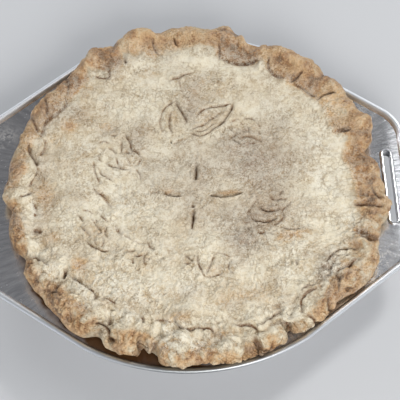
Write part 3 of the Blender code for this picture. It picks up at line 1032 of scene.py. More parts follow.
@dataclass(frozen=True)
class Browning:
    """Where the oven browned the crust, where it stayed dull or floury, and where some patches paint shade
    in.

    Attributes:
        rim: direction, radius where the browning starts, and its strength.
        fade: distance over which the browning of the rim sets in.
        patches: browner and paler areas, some of them painted shade on the vents' slopes and in hollows of
            lid and rim.
        patch_strength: how strongly the patches show.
        dull: greyish, slightly pink areas.
        floured: areas where the flour lies thick.
    """

    rim: tuple[Row, ...] = (
        (0, 107, 0.54), (9, 103.5, 0.58), (13.5, 107, 0.46), (16.5, 111, 0.42), (19.5, 104, 0.66),
        (22, 103.5, 0.5), (30, 106, 0.4), (34.5, 107, 0.42), (35.5, 107.5, 0.58), (44, 106.5, 0.56),
        (47, 105.5, 0.58), (53, 105, 0.56), (58, 107.5, 0.5), (60.5, 112, 0.4), (64, 105, 0.6),
        (70, 101.5, 0.78), (76, 103, 0.68), (79, 113, 0.44), (86, 112, 0.42), (92, 109, 0.44),
        (100, 105, 0.54), (106, 111, 0.46), (109.5, 115, 0.36), (112, 106, 0.66), (119, 105.5, 0.62),
        (122.5, 119, 0.38), (126, 106.5, 0.52), (135, 103.5, 0.6), (148, 104, 0.56), (156, 106, 0.46),
        (165, 107, 0.46), (172, 105, 0.54), (180, 112, 0.42), (188, 109, 0.6), (196, 109, 0.62),
        (206, 114, 0.44), (215, 116.5, 0.34), (221, 109, 0.5), (228, 110.5, 0.54), (234, 111, 0.5),
        (240, 114, 0.3), (249, 113, 0.44), (253, 113, 0.5), (256, 115, 0.3), (262, 123.5, 0.26),
        (269, 121.5, 0.46), (274, 123, 0.38), (278, 125, 0.28), (282, 126, 0.22), (285, 122, 0.42),
        (289, 121, 0.58), (293, 124, 0.26), (298, 123, 0.26), (303, 121.5, 0.28), (308, 120, 0.46),
        (314, 118.5, 0.54), (319, 116, 0.5), (324, 118, 0.4), (330, 121, 0.28), (334, 113, 0.38),
        (337, 114, 0.5), (341, 113.5, 0.26), (345, 112, 0.28), (348.5, 108, 0.6), (355, 108, 0.54),
        (360, 107, 0.54),
    )
    fade: float = 6.0
    # Some patches are painted shade: the vents' slopes, the hollow at the lid's left, and hollows at the
    # front of the rim.
    patches: Spots = Spots(
        flat=(
            (-76, 50, 5, 4, 0.34), (-50, 47, 4.5, 4, 0.22), (-85, 25, 14, 34, 0.06),
            (-66, 80, 14, 14, 0.12), (-70, 38, 16, 18, 0.07), (-24, 44, 7, 9, 0.13, 20),
            (-34, 34, 8, 12, 0.06), (-6.5, 53, 5, 10, 0.08, 8), (19, 51, 11, 6, 0.1, 32),
            (6, 72, 9, 12, 0.12), (22, 70, 9, 7, 0.08), (-22, 90, 8, 5, 0.1), (27, -8.4, 8, 1.6, 0.34, 4),
            (-12.5, -5.4, 5, 2.2, 0.24, -12), (-53.5, -7.5, 7.5, 2.2, 0.16, -48), (-60, -30, 9, 8, 0.1),
            (62, -43, 10, 4, 0.28, 8), (74, -40, 4, 3, 0.12), (-71, -57, 5.5, 5, 0.34),
            (-60, -62, 10, 8, 0.05), (-92, -6, 6, 24, 0.16), (-88, -36, 7, 6, 0.18),
            (-56, -84, 10, 6, 0.11, 20), (-30, -62, 6, 5, 0.06), (41, 39, 8, 6, 0.14),
            (-58.5, -34.5, 7, 9, 0.1, 20), (-33.5, -51, 8, 5, 0.08), (-46, 30, 8, 7, 0.08),
            (52, -26, 11, 10, 0.07), (35, -84, 16, 7, 0.16, 10), (18, -66, 8, 5, 0.1),
            (-10, -98, 10, 5, 0.28), (46, -20, 16, 18, 0.08), (70, 12, 14, 12, 0.06),
            (88, -5, 8, 34, -0.1), (-52, -12, 14, 16, -0.07), (-42, -68, 14, 8, -0.08),
            (-30, 10, 14, 16, -0.03), (60, -62, 16, 10, -0.06, -30),
        ),
        rim=(
            (338.5, 119, 9, 2.2, 0.4, -14), (19.3, 108, 4, 1.6, 0.34), (288, 126, 8, 3.5, 0.14),
            (273, 126, 8, 3.5, 0.1), (220.5, 114, 6, 2.5, 0.18), (225, 95, 6, 10, 0.14),
        ),
    )
    patch_strength: float = 1.6
    dull: Spots = Spots(
        flat=(
            (52, 12, 20, 24, 0.9), (34, 36, 16, 12, 0.4), (62, 40, 10, 14, 0.4), (48, -26, 16, 15, 0.66),
            (32, -44, 15, 10, 0.8, -30), (28, -62, 9, 7, 0.45), (7, 70, 9, 14, 0.7), (5, 6, 30, 26, 0.62),
            (3, 53, 7, 10, 0.55), (22, 28, 9, 7, 0.3), (12, -28, 16, 12, 0.4), (-32, 32, 9, 14, 0.45),
            (-52, 44, 8, 6, 0.45), (-70, 62, 10, 9, 0.4), (-94, 20, 6, 36, 0.5), (84, -72, 7, 6, 0.7),
            (88, -60, 6, 10, 0.45), (20, -91, 8, 4, 0.45), (0, -80, 12, 6, 0.3), (-12, -8, 16, 6, 0.2),
        ),
        rim=(
            (110, 107, 6, 18, 0.45), (145, 105.5, 6, 20, 0.45), (70, 107, 6, 14, 0.8),
            (300, 108, 4, 8, 0.45), (321, 108, 5, 8, 0.85), (242, 121, 5, 6, 0.5),
            (256.5, 122, 6, 2.5, 0.5), (334, 115, 4, 2.5, 0.5), (198, 102, 3.5, 4, 0.6),
        ),
    )
    floured: Spots = Spots(
        flat=(
            (88, 5, 11, 45, 0.35), (-48, -72, 16, 9, 0.6, -25), (-45, -10, 25, 25, 0.25),
            (60, -62, 22, 14, 0.3, -30), (-20, -75, 40, 14, 0.2),
        ),
        rim=(
            (342, 107, 5, 6, 1), (214, 109, 6, 6, 0.7), (262, 107, 6, 8, 0.7), (324, 110, 6, 13, 0.7),
            (226, 102, 4, 12, 0.5), (188, 101, 4, 10, 0.4), (245, 107, 5, 12, 0.4), (300, 117, 6, 12, 0.6),
            (268, 118, 6, 24, 0.7), (340, 118, 6, 8, 0.4),
        ),
    )

    def at(self, plan: Array) -> Array:
        """Browning of the crust, before its fine variation.

        Args:
            plan: places on the stencil, one row each.

        Returns:
            One value for each place, from about 0 to 0.8.
        """
        keys = np.array(self.rim)
        start, strength = (np.interp(way_round(plan) % 360.0, keys[:, 0], keys[:, k]) for k in (1, 2))
        edge = np.hypot(plan[:, 0], plan[:, 1]) + 1.2 * Grain(13).layered(on_level(plan), 8.0, 2)
        rim = strength * smoothstep(edge, start - 0.5 * self.fade, start + 0.5 * self.fade)
        return rim + self.patch_strength * self.patches.at(plan)


def on_level(plan: Array) -> Array:
    """Places on the stencil with a height of 0."""
    return np.column_stack([plan, np.zeros(len(plan))])


# ---------------------------------------------------------------------------
# Dish


@dataclass(frozen=True)
class JuiceAndShadow:
    """Browned juice on the flange, with painted shadow of the crust's edge: direction, radius, two spreads
    and strength of each run.
    """

    runs: tuple[Row, ...] = (
        (206, 115, 6, 4.5, 1.6), (214, 118.5, 5, 4, 1.3), (221, 119.5, 4, 5, 1.6), (230, 122, 6, 4, 1.4),
        (241, 122, 6, 6, 2.2), (248, 126, 5, 4.5, 2), (253, 123, 5, 7, 2.4), (257.5, 123, 4, 7, 2.4),
        (263, 126.5, 6, 4.5, 1.8), (271, 127.5, 6, 3.5, 1.4), (279, 129, 6, 3.5, 1.2),
        (296, 126, 4, 4, 0.8),
    )

    def at(self, points: Array) -> Array:
        """Strength of the juice stain and painted shadow, 0 or more.

        Args:
            points: places on the dish.

        Returns:
            One value for each place.
        """
        radius, degrees = np.hypot(points[:, 0], points[:, 1]), way_round(points)
        total = np.zeros(len(points))
        for direction, out, spread, deep, strength in self.runs:
            away = (degrees - direction + 180.0) % 360.0 - 180.0
            total += strength * np.exp(-(away / spread) ** 2 - ((radius - out) / deep) ** 2)
        return total * (0.9 + 0.5 * Grain(5).layered(points, 7.0, 3))


@dataclass
class Dish:
    """Round tapered bowl pressed in one sheet with its flange, two wings and bead."""

    sheet: float = 1.0
    bowl_depth: float = 32.0
    floor_radius: float = 87.0
    mouth_radius: float = 110.5
    floor_fillet: float = 9.0
    mouth_fillet: float = 3.0
    rim_radius: float = 129.2
    rim_arc: float = math.radians(32.0)
    wing_slant: float = math.radians(37.5)
    wing_reach: float = 143.8
    wing_corner: float = 28.0
    tip_dip: float = 0.05        # slope of the wing beyond its slot
    bead_radius: float = 1.8
    bead_height: float = 1.4     # half the bead's height
    bead_rise: float = 1.3
    bead_foot: float = 1.3       # from the bead to the flat flange
    bead_tuck: float = 0.5       # from the bead to the underside
    bead_wrap: float = 1.55      # half turns that the edge is rolled
    bead_sides: int = 16
    steps: int = 900
    flange_steps: int = 9
    slot_out: float = 132.2
    slot_width: float = 4.6
    slot_half_length: float = 27.8
    slot_end_steps: int = 16
    lip_width: float = 2.6
    lip_height: float = 1.1
    lip_inset: float = 0.6       # of the slot's turned-down edge into the slot
    lip_steps: int = 8
    collar_depth: float = 5.0    # of the slot's turned-down edge
    crease_angle: float = math.radians(42.0)
    front_bead_shade: float = 0.75        # painted shade on the rolled edge in front, which dims the front lamp's highlight
    front_bead_shade_way: float = 268.0
    front_bead_shade_spread: float = 24.0
    # browned juice, with painted shadow beside the crust's edge
    juice_and_shadow: JuiceAndShadow = JuiceAndShadow()
    flour: Spots = Spots(flat=(
        (117, 62, 12, 12, 0.35), (119, -56, 6, 6, 0.6), (113, -69, 6, 6, 0.7), (126, -48, 8, 8, 0.3),
        (-118, 52, 10, 10, 0.3),
    ))

    @property
    def flange_top(self) -> float:
        """Top of the flange above the ground."""
        return self.bowl_depth + self.sheet

    def bowl_profile(self, offset: float, steps: int = 5) -> Array:
        """Bowl section from floor to flange, offset from its inner face.

        Args:
            offset: above 0 inside the bowl, below 0 in or under the metal.
            steps: steps of each fillet.

        Returns:
            Rows of radius and height.
        """
        slope = math.atan2(self.bowl_depth, self.mouth_radius - self.floor_radius)
        turn = slope * np.linspace(0.0, 1.0, steps + 1)

        def fillet(radius: float, height: float, bend: float, angles: Array) -> Array:
            """Arc of a bend round a middle."""
            return np.stack([radius + bend * np.cos(angles), height + bend * np.sin(angles)], axis=1)

        low = self.floor_radius - self.floor_fillet * math.tan(slope / 2)
        high = self.mouth_radius + self.mouth_fillet * math.tan(slope / 2)
        return np.concatenate([
            fillet(low, self.sheet + self.floor_fillet, self.floor_fillet - offset, turn - math.pi / 2),
            fillet(high, self.flange_top - self.mouth_fillet, self.mouth_fillet + offset,
                   math.pi / 2 + turn[::-1])])

    def rim_point(self, angle: float) -> tuple[Vector, Vector]:
        """Bead's middle and its outward normal, in the direction of an angle.

        Args:
            angle: direction from the centre, in radians.

        Returns:
            The point and the unit normal.
        """
        ray = Vector((abs(math.cos(angle)), abs(math.sin(angle))))
        start = Vector((math.sin(self.rim_arc), math.cos(self.rim_arc))) * self.rim_radius
        edge_normal = Vector((math.sin(self.wing_slant), math.cos(self.wing_slant)))
        edge_distance = start.dot(edge_normal)
        corner_x = self.wing_reach - self.wing_corner
        corner_y = (edge_distance - self.wing_corner - corner_x * edge_normal.x) / edge_normal.y
        corner = Vector((corner_x, corner_y))
        touch = corner + edge_normal * self.wing_corner
        if ray.x <= math.sin(self.rim_arc):
            point, normal = ray * self.rim_radius, ray
        elif ray.y * touch.x >= ray.x * touch.y:
            point, normal = ray * (edge_distance / ray.dot(edge_normal)), edge_normal
        elif ray.y * self.wing_reach <= ray.x * corner_y:
            point, normal = ray * (self.wing_reach / ray.x), Vector((1.0, 0.0))
        else:
            along = ray.dot(corner)
            root = math.sqrt(along ** 2 - corner.length_squared + self.wing_corner ** 2)
            point = ray * (along + root)
            normal = (point - corner).normalized()
        signs = Vector((math.copysign(1.0, math.cos(angle)), math.copysign(1.0, math.sin(angle))))
        return point * signs, normal * signs

    def rim_lines(self) -> tuple[Array, Array, Array]:
        """Bead at even distances along it.

        Returns:
            Directions in radians, points and unit normals.
        """
        coarse = [i * FULL_TURN / self.steps for i in range(self.steps + 1)]
        run = run_along(np.array([self.rim_point(a)[0] for a in coarse]))
        angles = np.interp(np.arange(self.steps) / self.steps * run[-1], run, coarse)
        found = [self.rim_point(a) for a in angles]
        return angles, np.array([p for p, _ in found]), np.array([n for _, n in found])

    def rings(self) -> list[Array]:
        """Rings of points from the floor inside, over flange and bead, to the floor outside.

        Returns:
            One array of points for each ring.
        """
        angles, line, normals = self.rim_lines()
        ray = np.stack([np.cos(angles), np.sin(angles)], axis=1)
        level = np.ones(len(ray))
        top, foot = self.flange_top, -self.bead_radius - self.bead_foot
        rings = [np.column_stack([ray * r, level * z]) for r, z in self.bowl_profile(0.0)]
        start, end = rings[-1], np.column_stack([line + normals * foot, level * top])
        for i in range(1, self.flange_steps + 1):
            ring = start + (end - start) * i / self.flange_steps
            beyond = np.abs(ring[:, 0]) - self.slot_out - self.slot_width / 2
            ring[:, 2] -= self.tip_dip * np.maximum(0.0, beyond)
            rings.append(ring)
        roll = math.pi * (1.0 - self.bead_wrap * np.arange(self.bead_sides + 1) / self.bead_sides)
        outs = [*self.bead_radius * np.cos(roll), -self.bead_radius - self.bead_tuck]
        heights = [*top + self.bead_rise + self.bead_height * np.sin(roll), top - self.sheet]
        rings += [np.column_stack([line + normals * out, level * z]) for out, z in zip(outs, heights)]
        rings += [np.column_stack([ray * r, level * z]) for r, z in self.bowl_profile(-self.sheet)[::-1]]
        return rings

    def build(self, material: Material) -> Item:
        """Model the dish and dress it.

        Args:
            material: its metal.

        Returns:
            The finished piece.
        """
        rings = self.rings()
        numbers = np.arange(len(rings) * self.steps).reshape(len(rings), self.steps)
        middles = [[0.0, 0.0, rings[k][0, 2]] for k in (0, -1)]
        caps = np.concatenate([fan_faces(numbers.size, numbers[0]),
                               fan_faces(numbers.size + 1, numbers[-1])[:, [0, 2, 1]]])
        sheet = make_piece("dish_sheet", np.concatenate(rings + [middles]), [tube_faces(numbers), caps])
        tools = [self.join(sheet, self.slot_lip(side), "UNION") for side in SIDES]
        tools += [self.join(sheet, self.slot_cutter(side), "DIFFERENCE") for side in SIDES]
        done = bpy.data.meshes.new_from_object(sheet.evaluated_get(bpy.context.evaluated_depsgraph_get()))
        piece = link("pressed_dish", done)
        for used in (sheet, *tools):
            bpy.data.objects.remove(used, do_unlink=True)
        done.materials.clear()
        done.materials.append(material)
        done.shade_smooth()
        done.set_sharp_from_angle(angle=self.crease_angle)
        flat = np.zeros(len(done.vertices) * 3, np.float32)
        done.vertices.foreach_get("co", flat)
        for name, values in self.masks(flat.reshape(-1, 3) / MM).items():
            set_mask(piece, name, values)
        return hand_over(piece, "pie_dish")

    def masks(self, points: Array) -> dict[str, Array]:
        """Where the metal is stained with juice and painted shadow, floured, polished, and darkened with
        painted shade.

        Args:
            points: places on the dish.

        Returns:
            One array for each mask that the finish reads.
        """
        above = points[:, 2] - self.flange_top
        on_flange = np.abs(above) < 0.3
        from_slot = np.abs(np.abs(points[:, 0]) - self.slot_out) - self.slot_width / 2
        on_lip = 1.0 - smoothstep(from_slot, self.lip_width, self.lip_width + 1.0)
        on_lip *= np.abs(points[:, 1]) < self.slot_half_length + self.lip_width + 1.0
        # The slot's turned-down walls are painted dark: painted shade.
        slot_wall_shade = (1.0 - smoothstep(from_slot, 0.2, 0.6)) * (1.0 - smoothstep(above, -1.2, 0.4))
        # Painted shade on the rolled edge in front dims the front lamp's highlight there.
        away = (way_round(points) % 360.0 - self.front_bead_shade_way) / self.front_bead_shade_spread
        on_bead = smoothstep(above, 0.2, 0.9)
        return {
            # juice stain with painted shadow beside the crust's edge
            "stain_and_shadow": np.clip(self.juice_and_shadow.at(points), 0.0, 1.0) * on_flange,
            "dust": np.clip(self.flour.at(points), 0.0, 1.0) * on_flange,
            "polish": on_bead * (1.0 - 0.8 * on_lip),
            "shade": np.maximum(slot_wall_shade, self.front_bead_shade * np.exp(-away ** 2) * on_bead),
        }

    def slot_path(self, side: float, grow: float) -> list[Place]:
        """Rounded-end outline of a wing slot.

        Args:
            side: 1 for the right wing, -1 for the left one.
            grow: distance that the outline is grown outward.

        Returns:
            Its points.
        """
        radius = self.slot_width / 2 + grow
        straight = self.slot_half_length - self.slot_width / 2
        points = []
        for end, first in ((1.0, 0.0), (-1.0, math.pi)):
            for i in range(self.slot_end_steps + 1):
                angle = first + math.pi * i / self.slot_end_steps
                points.append((side * self.slot_out + radius * math.cos(angle),
                               end * straight + radius * math.sin(angle)))
        return points

    def slot_lip(self, side: float) -> Item:
        """Raised round border of a slot, with its turned-down edge.

        Args:
            side: 1 for the right wing, -1 for the left one.

        Returns:
            The border as a closed ring.
        """
        top = self.flange_top
        foot, deep = top - self.sheet / 2, top - self.collar_depth
        section = [(-self.lip_inset, deep), (-self.lip_inset, top + 0.55 * self.lip_height)]
        for i in range(self.lip_steps + 1):
            turn = math.pi * (1.0 - i / self.lip_steps)
            section.append((0.45 * self.lip_width * (1.0 + math.cos(turn)) - 0.5,
                            top + self.lip_height * (0.3 + 0.7 * math.sin(turn))))
        section += [(self.lip_width, foot), (self.sheet, foot - self.sheet), (self.sheet, deep)]
        rings = [np.array([(x, y, z) for x, y in self.slot_path(side, grow)]) for grow, z in section]
        numbers = np.arange(len(rings) * len(rings[0])).reshape(len(rings), -1)
        quads = tube_faces(np.concatenate([numbers, numbers[:1]]))
        return self.outward(make_piece("lip", np.concatenate(rings), [quads]))

    def slot_cutter(self, side: float) -> Item:
        """Upright prism that opens a slot through lip and flange.

        Args:
            side: 1 for the right wing, -1 for the left one.

        Returns:
            The prism.
        """
        levels = self.flange_top - 2.0 * self.collar_depth, self.flange_top + 4.0
        outline = self.slot_path(side, 0.0)
        count = len(outline)
        low = np.arange(count)
        points = np.array([(x, y, z) for z in levels for x, y in outline])
        faces = [tube_faces(np.stack([low + count, low])), low[None, ::-1], low[None] + count]
        return self.outward(make_piece("slot", points, faces))

    @staticmethod
    def outward(tool: Item) -> Item:
        """Turn a tool's faces outward.

        Args:
            tool: a closed object.

        Returns:
            The same object.
        """
        bm = bmesh.new()
        bm.from_mesh(tool.data)
        bmesh.ops.recalc_face_normals(bm, faces=bm.faces)
        bm.to_mesh(tool.data)
        bm.free()
        return tool

    @staticmethod
    def join(target: Item, tool: Item, operation: str) -> Item:
        """Put a Boolean modifier on the target and return its tool.

        Args:
            target: what is worked on.
            tool: what is added or cut away.
            operation: kind of Boolean.

        Returns:
            The tool, hidden.
        """
        modifier = target.modifiers.new(tool.name, "BOOLEAN")
        modifier.operation = operation
        modifier.solver = "EXACT"
        modifier.object = tool
        tool.hide_render = True
        return tool


# ---------------------------------------------------------------------------
# Pie


@dataclass(frozen=True)
class Waves:
    """Unevenness: noise of a seed and size, with its strength and number of layers."""

    seed: int
    size: float
    strength: float
    layers: int = 1

    def at(self, points: Array) -> Array:
        """One value for each place."""
        return self.strength * Grain(self.seed).layered(points, self.size, self.layers)


@dataclass(frozen=True)
class Blister:
    """One size of raised blisters.

    Attributes:
        seed: of its pattern.
        size: distance between blisters.
        lid: height on the lid.
        rim: further height on the rim.
        front: further height on the front of the rim.
    """

    seed: int
    size: float
    lid: float
    rim: float
    front: float

    def rise(self, noise: Array, lid: Array, rim: Array, front: Array) -> Array:
        """Rise of these blisters, from their noise and the shares of lid, rim and front."""
        return (self.lid * lid + rim * (self.rim + self.front * front)) * (np.abs(noise) - 0.3)


@dataclass
class Pie:
    """The baked pie: a round lid, a crimped rim, and a body that fills the dish."""

    dish: Dish
    seat_gap: float = 0.35
    seat_reach: float = 112.8
    hang_limit: float = 125.8
    foot_span: Place = (38.0, 122.0)
    foot_blend: float = 6.0     # degrees
    foot_inset: float = 2.5
    lip_lift: float = 2.0
    lid_height: float = 14.0
    crest_height: float = 13.5
    lid_radius: float = 98.0
    crest_mean: float = 2.0     # height of the crimps over the crest height
    crest_wave: float = 0.45    # further height for each unit that the edge stands out
    crest_pull: float = 0.75    # how far high crimps lean in
    wave_span: float = 20.0     # degrees
    lid_rings: int = 155
    lid_sectors: int = 8
    lid_thickness: float = 8.0
    rim_rings: int = 68
    curve_steps: int = 16
    free_span: Place = (0.4, 3.0)   # above the flange, where the fine form sets in
    fine_span: Place = (5.0, 13.0)  # the same for blisters
    eye: Point = (-16.2, -646.7, 990.6)   # above the flange
    stencil_level: float = 14.5
    crimps: tuple[Place, ...] = (   # direction and reach of each crest and notch of the edge
        (0, 127.5), (5, 126.5), (11, 120), (16, 127.5), (21, 132.5), (26, 129.5), (31, 130), (36, 131),
        (41, 129), (47.5, 131.5), (52, 128.5), (58.5, 131), (62, 128.5), (66.5, 124), (71.5, 130),
        (76, 134), (81, 131), (86, 132), (91, 131.5), (95.5, 129), (100, 132), (105, 132.5),
        (108.5, 129.5), (112, 126.5), (118, 130), (122, 126.5), (126, 123.5), (131, 121.5), (138, 120),
        (143, 121.5), (150, 118.5), (157, 118), (164, 118.5), (171, 117), (180, 119), (187.5, 116),
        (195, 119), (199, 119), (203.5, 117), (210, 121), (218, 121), (226, 123.5), (235, 126),
        (240, 120.5), (244, 126), (249, 130), (252.5, 127.5), (254.3, 119), (256, 122), (257.8, 121),
        (261, 127.5), (266, 130), (270, 127.5), (274, 130.5), (280, 133.5), (285, 131.5), (290, 132),
        (294.5, 130), (298, 123), (301.5, 130), (306, 130), (311, 129), (315.5, 127.5), (321, 130.5),
        (327, 132), (333, 133), (338, 129.5), (344, 126.5), (351, 130.5), (355.5, 127), (360, 127.5),
    )
    lid_swells: tuple[Row, ...] = (
        (10, -8, 60, 1.6), (-62, 30, 28, -0.8), (52, 58, 30, 0.9), (-40, -62, 30, 0.8), (66, -36, 26, -0.7),
        (-8, -96, 9, 2.2),
    )
    motifs: tuple[Motif, ...] = (LEAVES, BLOSSOM, ROSE, POSY, SCALLOPS, SMALL_LEAVES, VENTS, RIM_FOLDS)
    lumps: Spots = LUMPS
    broad_waves: Waves = Waves(1, 34.0, 1.2)
    close_waves: Waves = Waves(2, 16.0, 1.6)
    dough_waves: Waves = Waves(10, 8.0, 0.8)
    wrinkle_depth: float = 0.25
    least_bake: float = 0.13
    bake_clouds: Waves = Waves(11, 20.0, 0.16, 3)
    rim_clouds: Waves = Waves(18, 9.0, 0.30, 3)
    dull_clouds: Waves = Waves(14, 22.0, 0.26, 3)
    flour_drifts: Waves = Waves(12, 16.0, 0.25)
    blisters: tuple[Blister, ...] = (
        Blister(15, 13.0, 0.0, 0.0, 2.0), Blister(3, 8.0, 0.85, 0.5, 0.9), Blister(4, 3.8, 0.7, 0.5, 0.7),
        Blister(5, 2.2, 0.28, 0.1, 0.1),
    )
    browning: Browning = Browning()

    def reach(self, angles: Array) -> Array:
        """How far the crust edge stands from the middle.

        Args:
            angles: directions in radians.

        Returns:
            One radius for each direction.
        """
        keys = np.array(self.crimps)
        degrees = np.degrees(angles) % 360.0
        before = np.clip(np.searchsorted(keys[:, 0], degrees, side="right") - 1, 0, len(keys) - 2)
        first, second = keys[before], keys[before + 1]
        share = smoothstep((degrees - first[:, 0]) / (second[:, 0] - first[:, 0]), 0.0, 1.0)
        return first[:, 1] + (second[:, 1] - first[:, 1]) * share

    def wave(self, angles: Array) -> Array:
        """How far the edge stands out from its own average nearby."""
        nearby = np.radians(np.linspace(-self.wave_span, self.wave_span, 21))
        return self.reach(angles) - np.mean([self.reach(angles + step) for step in nearby], axis=0)

    def overhang(self, angles: Array) -> Array:
        """How far the crust edge hangs out over the bead."""
        from_bead = self.reach(angles) - self.hang_limit - self.bead_reach(angles)
        return np.maximum(0.0, from_bead + self.dish.rim_radius)

    def bead_reach(self, angles: Array) -> Array:
        """Distance of the bead's middle from the middle of the pie."""
        return np.array([self.dish.rim_point(a)[0].length for a in angles])

    def foot(self, angles: Array) -> Array:
        """How far the foot of the crust stands out from its edge, to lie against the bead at the back.

        Args:
            angles: directions in radians.

        Returns:
            One distance for each direction.
        """
        degrees, blend = np.degrees(angles) % 360.0, self.foot_blend
        first, last = self.foot_span
        share = smoothstep(degrees, first - blend, first) * (1.0 - smoothstep(degrees, last, last + blend))
        return share * np.maximum(0.0, self.bead_reach(angles) - self.foot_inset - self.reach(angles))

    def lid_level(self, x: Array, y: Array) -> Array:
        """Height of the plain lid above the ground.

        Args:
            x: places out to the right.
            y: places to the back.

        Returns:
            One height for each place.
        """
        height = np.full(np.shape(x), self.dish.flange_top + self.lid_height)
        for sx, sy, spread, swell in self.lid_swells:
            height = height + swell * np.exp(-((x - sx) ** 2 + (y - sy) ** 2) / spread ** 2)
        return height

    def section_knots(self, angles: Array) -> Array:
        """Knots of the section from inside the seam, over the rim, to the flange.

        Args:
            angles: directions round the pie.

        Returns:
            Radii and heights, with the knots along the first axis.
        """
        reach, over, foot = self.reach(angles), self.overhang(angles), self.foot(angles)
        flute = self.crest_mean + self.crest_wave * self.wave(angles)
        crest = self.dish.flange_top + self.crest_height + flute
        low, lift, side = self.dish.flange_top + self.seat_gap, self.lip_lift, reach + foot
        level = np.ones(len(angles))
        knots = []
        for radius in (self.lid_radius - 4.0, self.lid_radius):
            knots.append((radius * level, self.lid_level(radius * np.cos(angles), radius * np.sin(angles))))
        knots += [
            (reach - 13.0 - self.crest_pull * flute, crest - 1.4),
            (reach - 9.0, crest),
            (reach - 4.5, crest - 1.0),
            (reach - 1.0, crest - 4.0),
            (reach + 0.85 * foot, low + 3.5 * lift + 0.5 * over),
            (side - 0.5 - 0.6 * over, low + 2.0 * lift + 0.3 * over),
            (side - 2.5 - over, low + 0.6 * lift + 0.1 * over),
            (self.seat_reach * level, low * level),
        ]
        return np.stack([np.stack(knot, axis=-1) for knot in knots])

    def base_rings(self, angles: Array) -> Array:
        """Rings of the rim from the seam to the flange, then down the bowl.

        Args:
            angles: directions of the vertices of each ring.

        Returns:
            Points, with the rings along the first axis.
        """
        curve = smooth_path(self.section_knots(angles), self.curve_steps)[self.curve_steps:]
        shown = evenly(curve, self.rim_rings + 1)
        bowl = self.dish.bowl_profile(self.seat_gap, 3)[::-1]
        section = np.concatenate([shown, np.repeat(bowl[:, None, :], len(angles), axis=1)])
        radius, height = section[..., 0], section[..., 1]
        return np.stack([radius * np.cos(angles), radius * np.sin(angles), height], axis=-1)

    def disc(self) -> tuple[Array, Array]:
        """Even triangles over the lid, whose rings grow by the same count.

        Returns:
            Places of the vertices, and triangles.
        """
        sectors, rings = self.lid_sectors, self.lid_rings
        places, starts = [np.zeros((1, 2))], [0]
        for ring in range(1, rings + 1):
            angles = np.arange(sectors * ring) * FULL_TURN / (sectors * ring)
            starts.append(starts[-1] + len(places[-1]))
            radius = self.lid_radius * ring / rings
            places.append(radius * np.stack([np.cos(angles), np.sin(angles)], axis=1))
        triangles = []
        for ring in range(1, rings + 1):
            outer, inner = sectors * ring, max(1, sectors * (ring - 1))
            step = np.arange(ring)
            for sector in range(sectors):
                out_a, out_b = (starts[ring] + (sector * ring + step + k) % outer for k in (0, 1))
                in_a, in_b = (starts[ring - 1] + (sector * (ring - 1) + step + k) % inner for k in (0, 1))
                triangles.append(np.stack([in_a, out_a, out_b], axis=1))
                triangles.append(np.stack([in_a, out_b, in_b], axis=1)[:-1])
        return np.concatenate(places), np.concatenate(triangles)

    def stencil(self, points: Array) -> Array:
        """Where each point is seen on the level stencil from the baker's eye.

        Args:
            points: places in space, one row each.

        Returns:
            Places on the stencil, one row each.
        """
        eye = np.array(self.eye) + (0.0, 0.0, self.dish.flange_top)
        level = self.stencil_level + self.dish.flange_top
        share = (eye[2] - level) / (eye[2] - points[:, 2])
        return (eye + (points - eye) * share[:, None])[:, :2]

    def swell(self, points: Array) -> Array:
        """Broad rise of the crust along its normal, before the marks are pressed."""
        lumps = self.lumps.at(self.stencil(points))
        return lumps + self.broad_waves.at(points) + self.close_waves.at(points)

    def marks(self, plan: Array) -> tuple[Array, Array]:
        """Press, cut and fold all the lines.

        Args:
            plan: places on the stencil.

        Returns:
            Their rise, and their darkening with painted shade and browning, at each place.
        """
        rise, crease_shade_and_brown = np.zeros(len(plan)), np.zeros(len(plan))
        flat, radius = on_level(plan), np.hypot(plan[:, 0], plan[:, 1])
        wander = np.stack([Grain(50 + k).layered(flat, 6.0, 2) for k in range(2)], axis=1)
        dark = Grain(52).at(flat, 5.0) + smoothstep(radius, 95.0, 103.0)
        patchy = 0.75 + 0.25 * smoothstep(dark, -0.45, 0.45)
        for motif in self.motifs:
            for stroke in motif.strokes():
                rows, lift, tone = stroke.press(plan + 0.25 * wander)
                rise[rows] += lift
                crease_shade_and_brown[rows] = np.maximum(crease_shade_and_brown[rows], tone * patchy[rows])
        return rise, crease_shade_and_brown

    def relief(self, points: Array, plan: Array) -> tuple[Array, Array, Array]:
        """Fine form of the crust.

        Args:
            points: places on the plain form.
            plan: the same places on the stencil.

        Returns:
            Rise along the surface's normal, painted shade and browning in the creases, and the rise of the
            blisters alone.
        """
        rise, crease_shade_and_brown = self.marks(plan)
        radius = np.hypot(plan[:, 0], plan[:, 1])
        rim = smoothstep(radius, 97.0, 110.0)
        front = smoothstep(-plan[:, 1], -40.0, 70.0)
        lid = (0.7 + smoothstep(-plan[:, 1], -30.0, 70.0)) * (0.9 + 0.5 * Grain(17).at(points, 24.0))
        bent = points + 1.8 * np.stack([Grain(40 + k).at(points, 9.0) for k in range(3)], axis=1)
        rise += self.dough_waves.at(bent)
        noises = [Grain(kind.seed).at(bent, kind.size) for kind in self.blisters]
        fine = sum(kind.rise(noise, lid, rim, front) for kind, noise in zip(self.blisters, noises))
        fine += (0.25 * lid + 0.1 * front - 0.1 * rim) * Grain(6).at(points, 1.3)
        streak = np.stack([way_round(plan) * 1.6, radius / 6.0, 0.0 * radius], axis=1)
        fine += rim * (0.25 * Grain(7).at(streak, 1.6) + 0.9 * front * Grain(16).at(streak, 4.0))
        wrinkle = np.exp(-(Grain(8).at(bent, 6.0) / 0.06) ** 2)
        wrinkle *= smoothstep(Grain(9).at(points, 14.0), -0.2, 0.5)
        fine -= self.wrinkle_depth * wrinkle
        fine *= smoothstep(points[:, 2] - self.dish.flange_top, *self.fine_span)
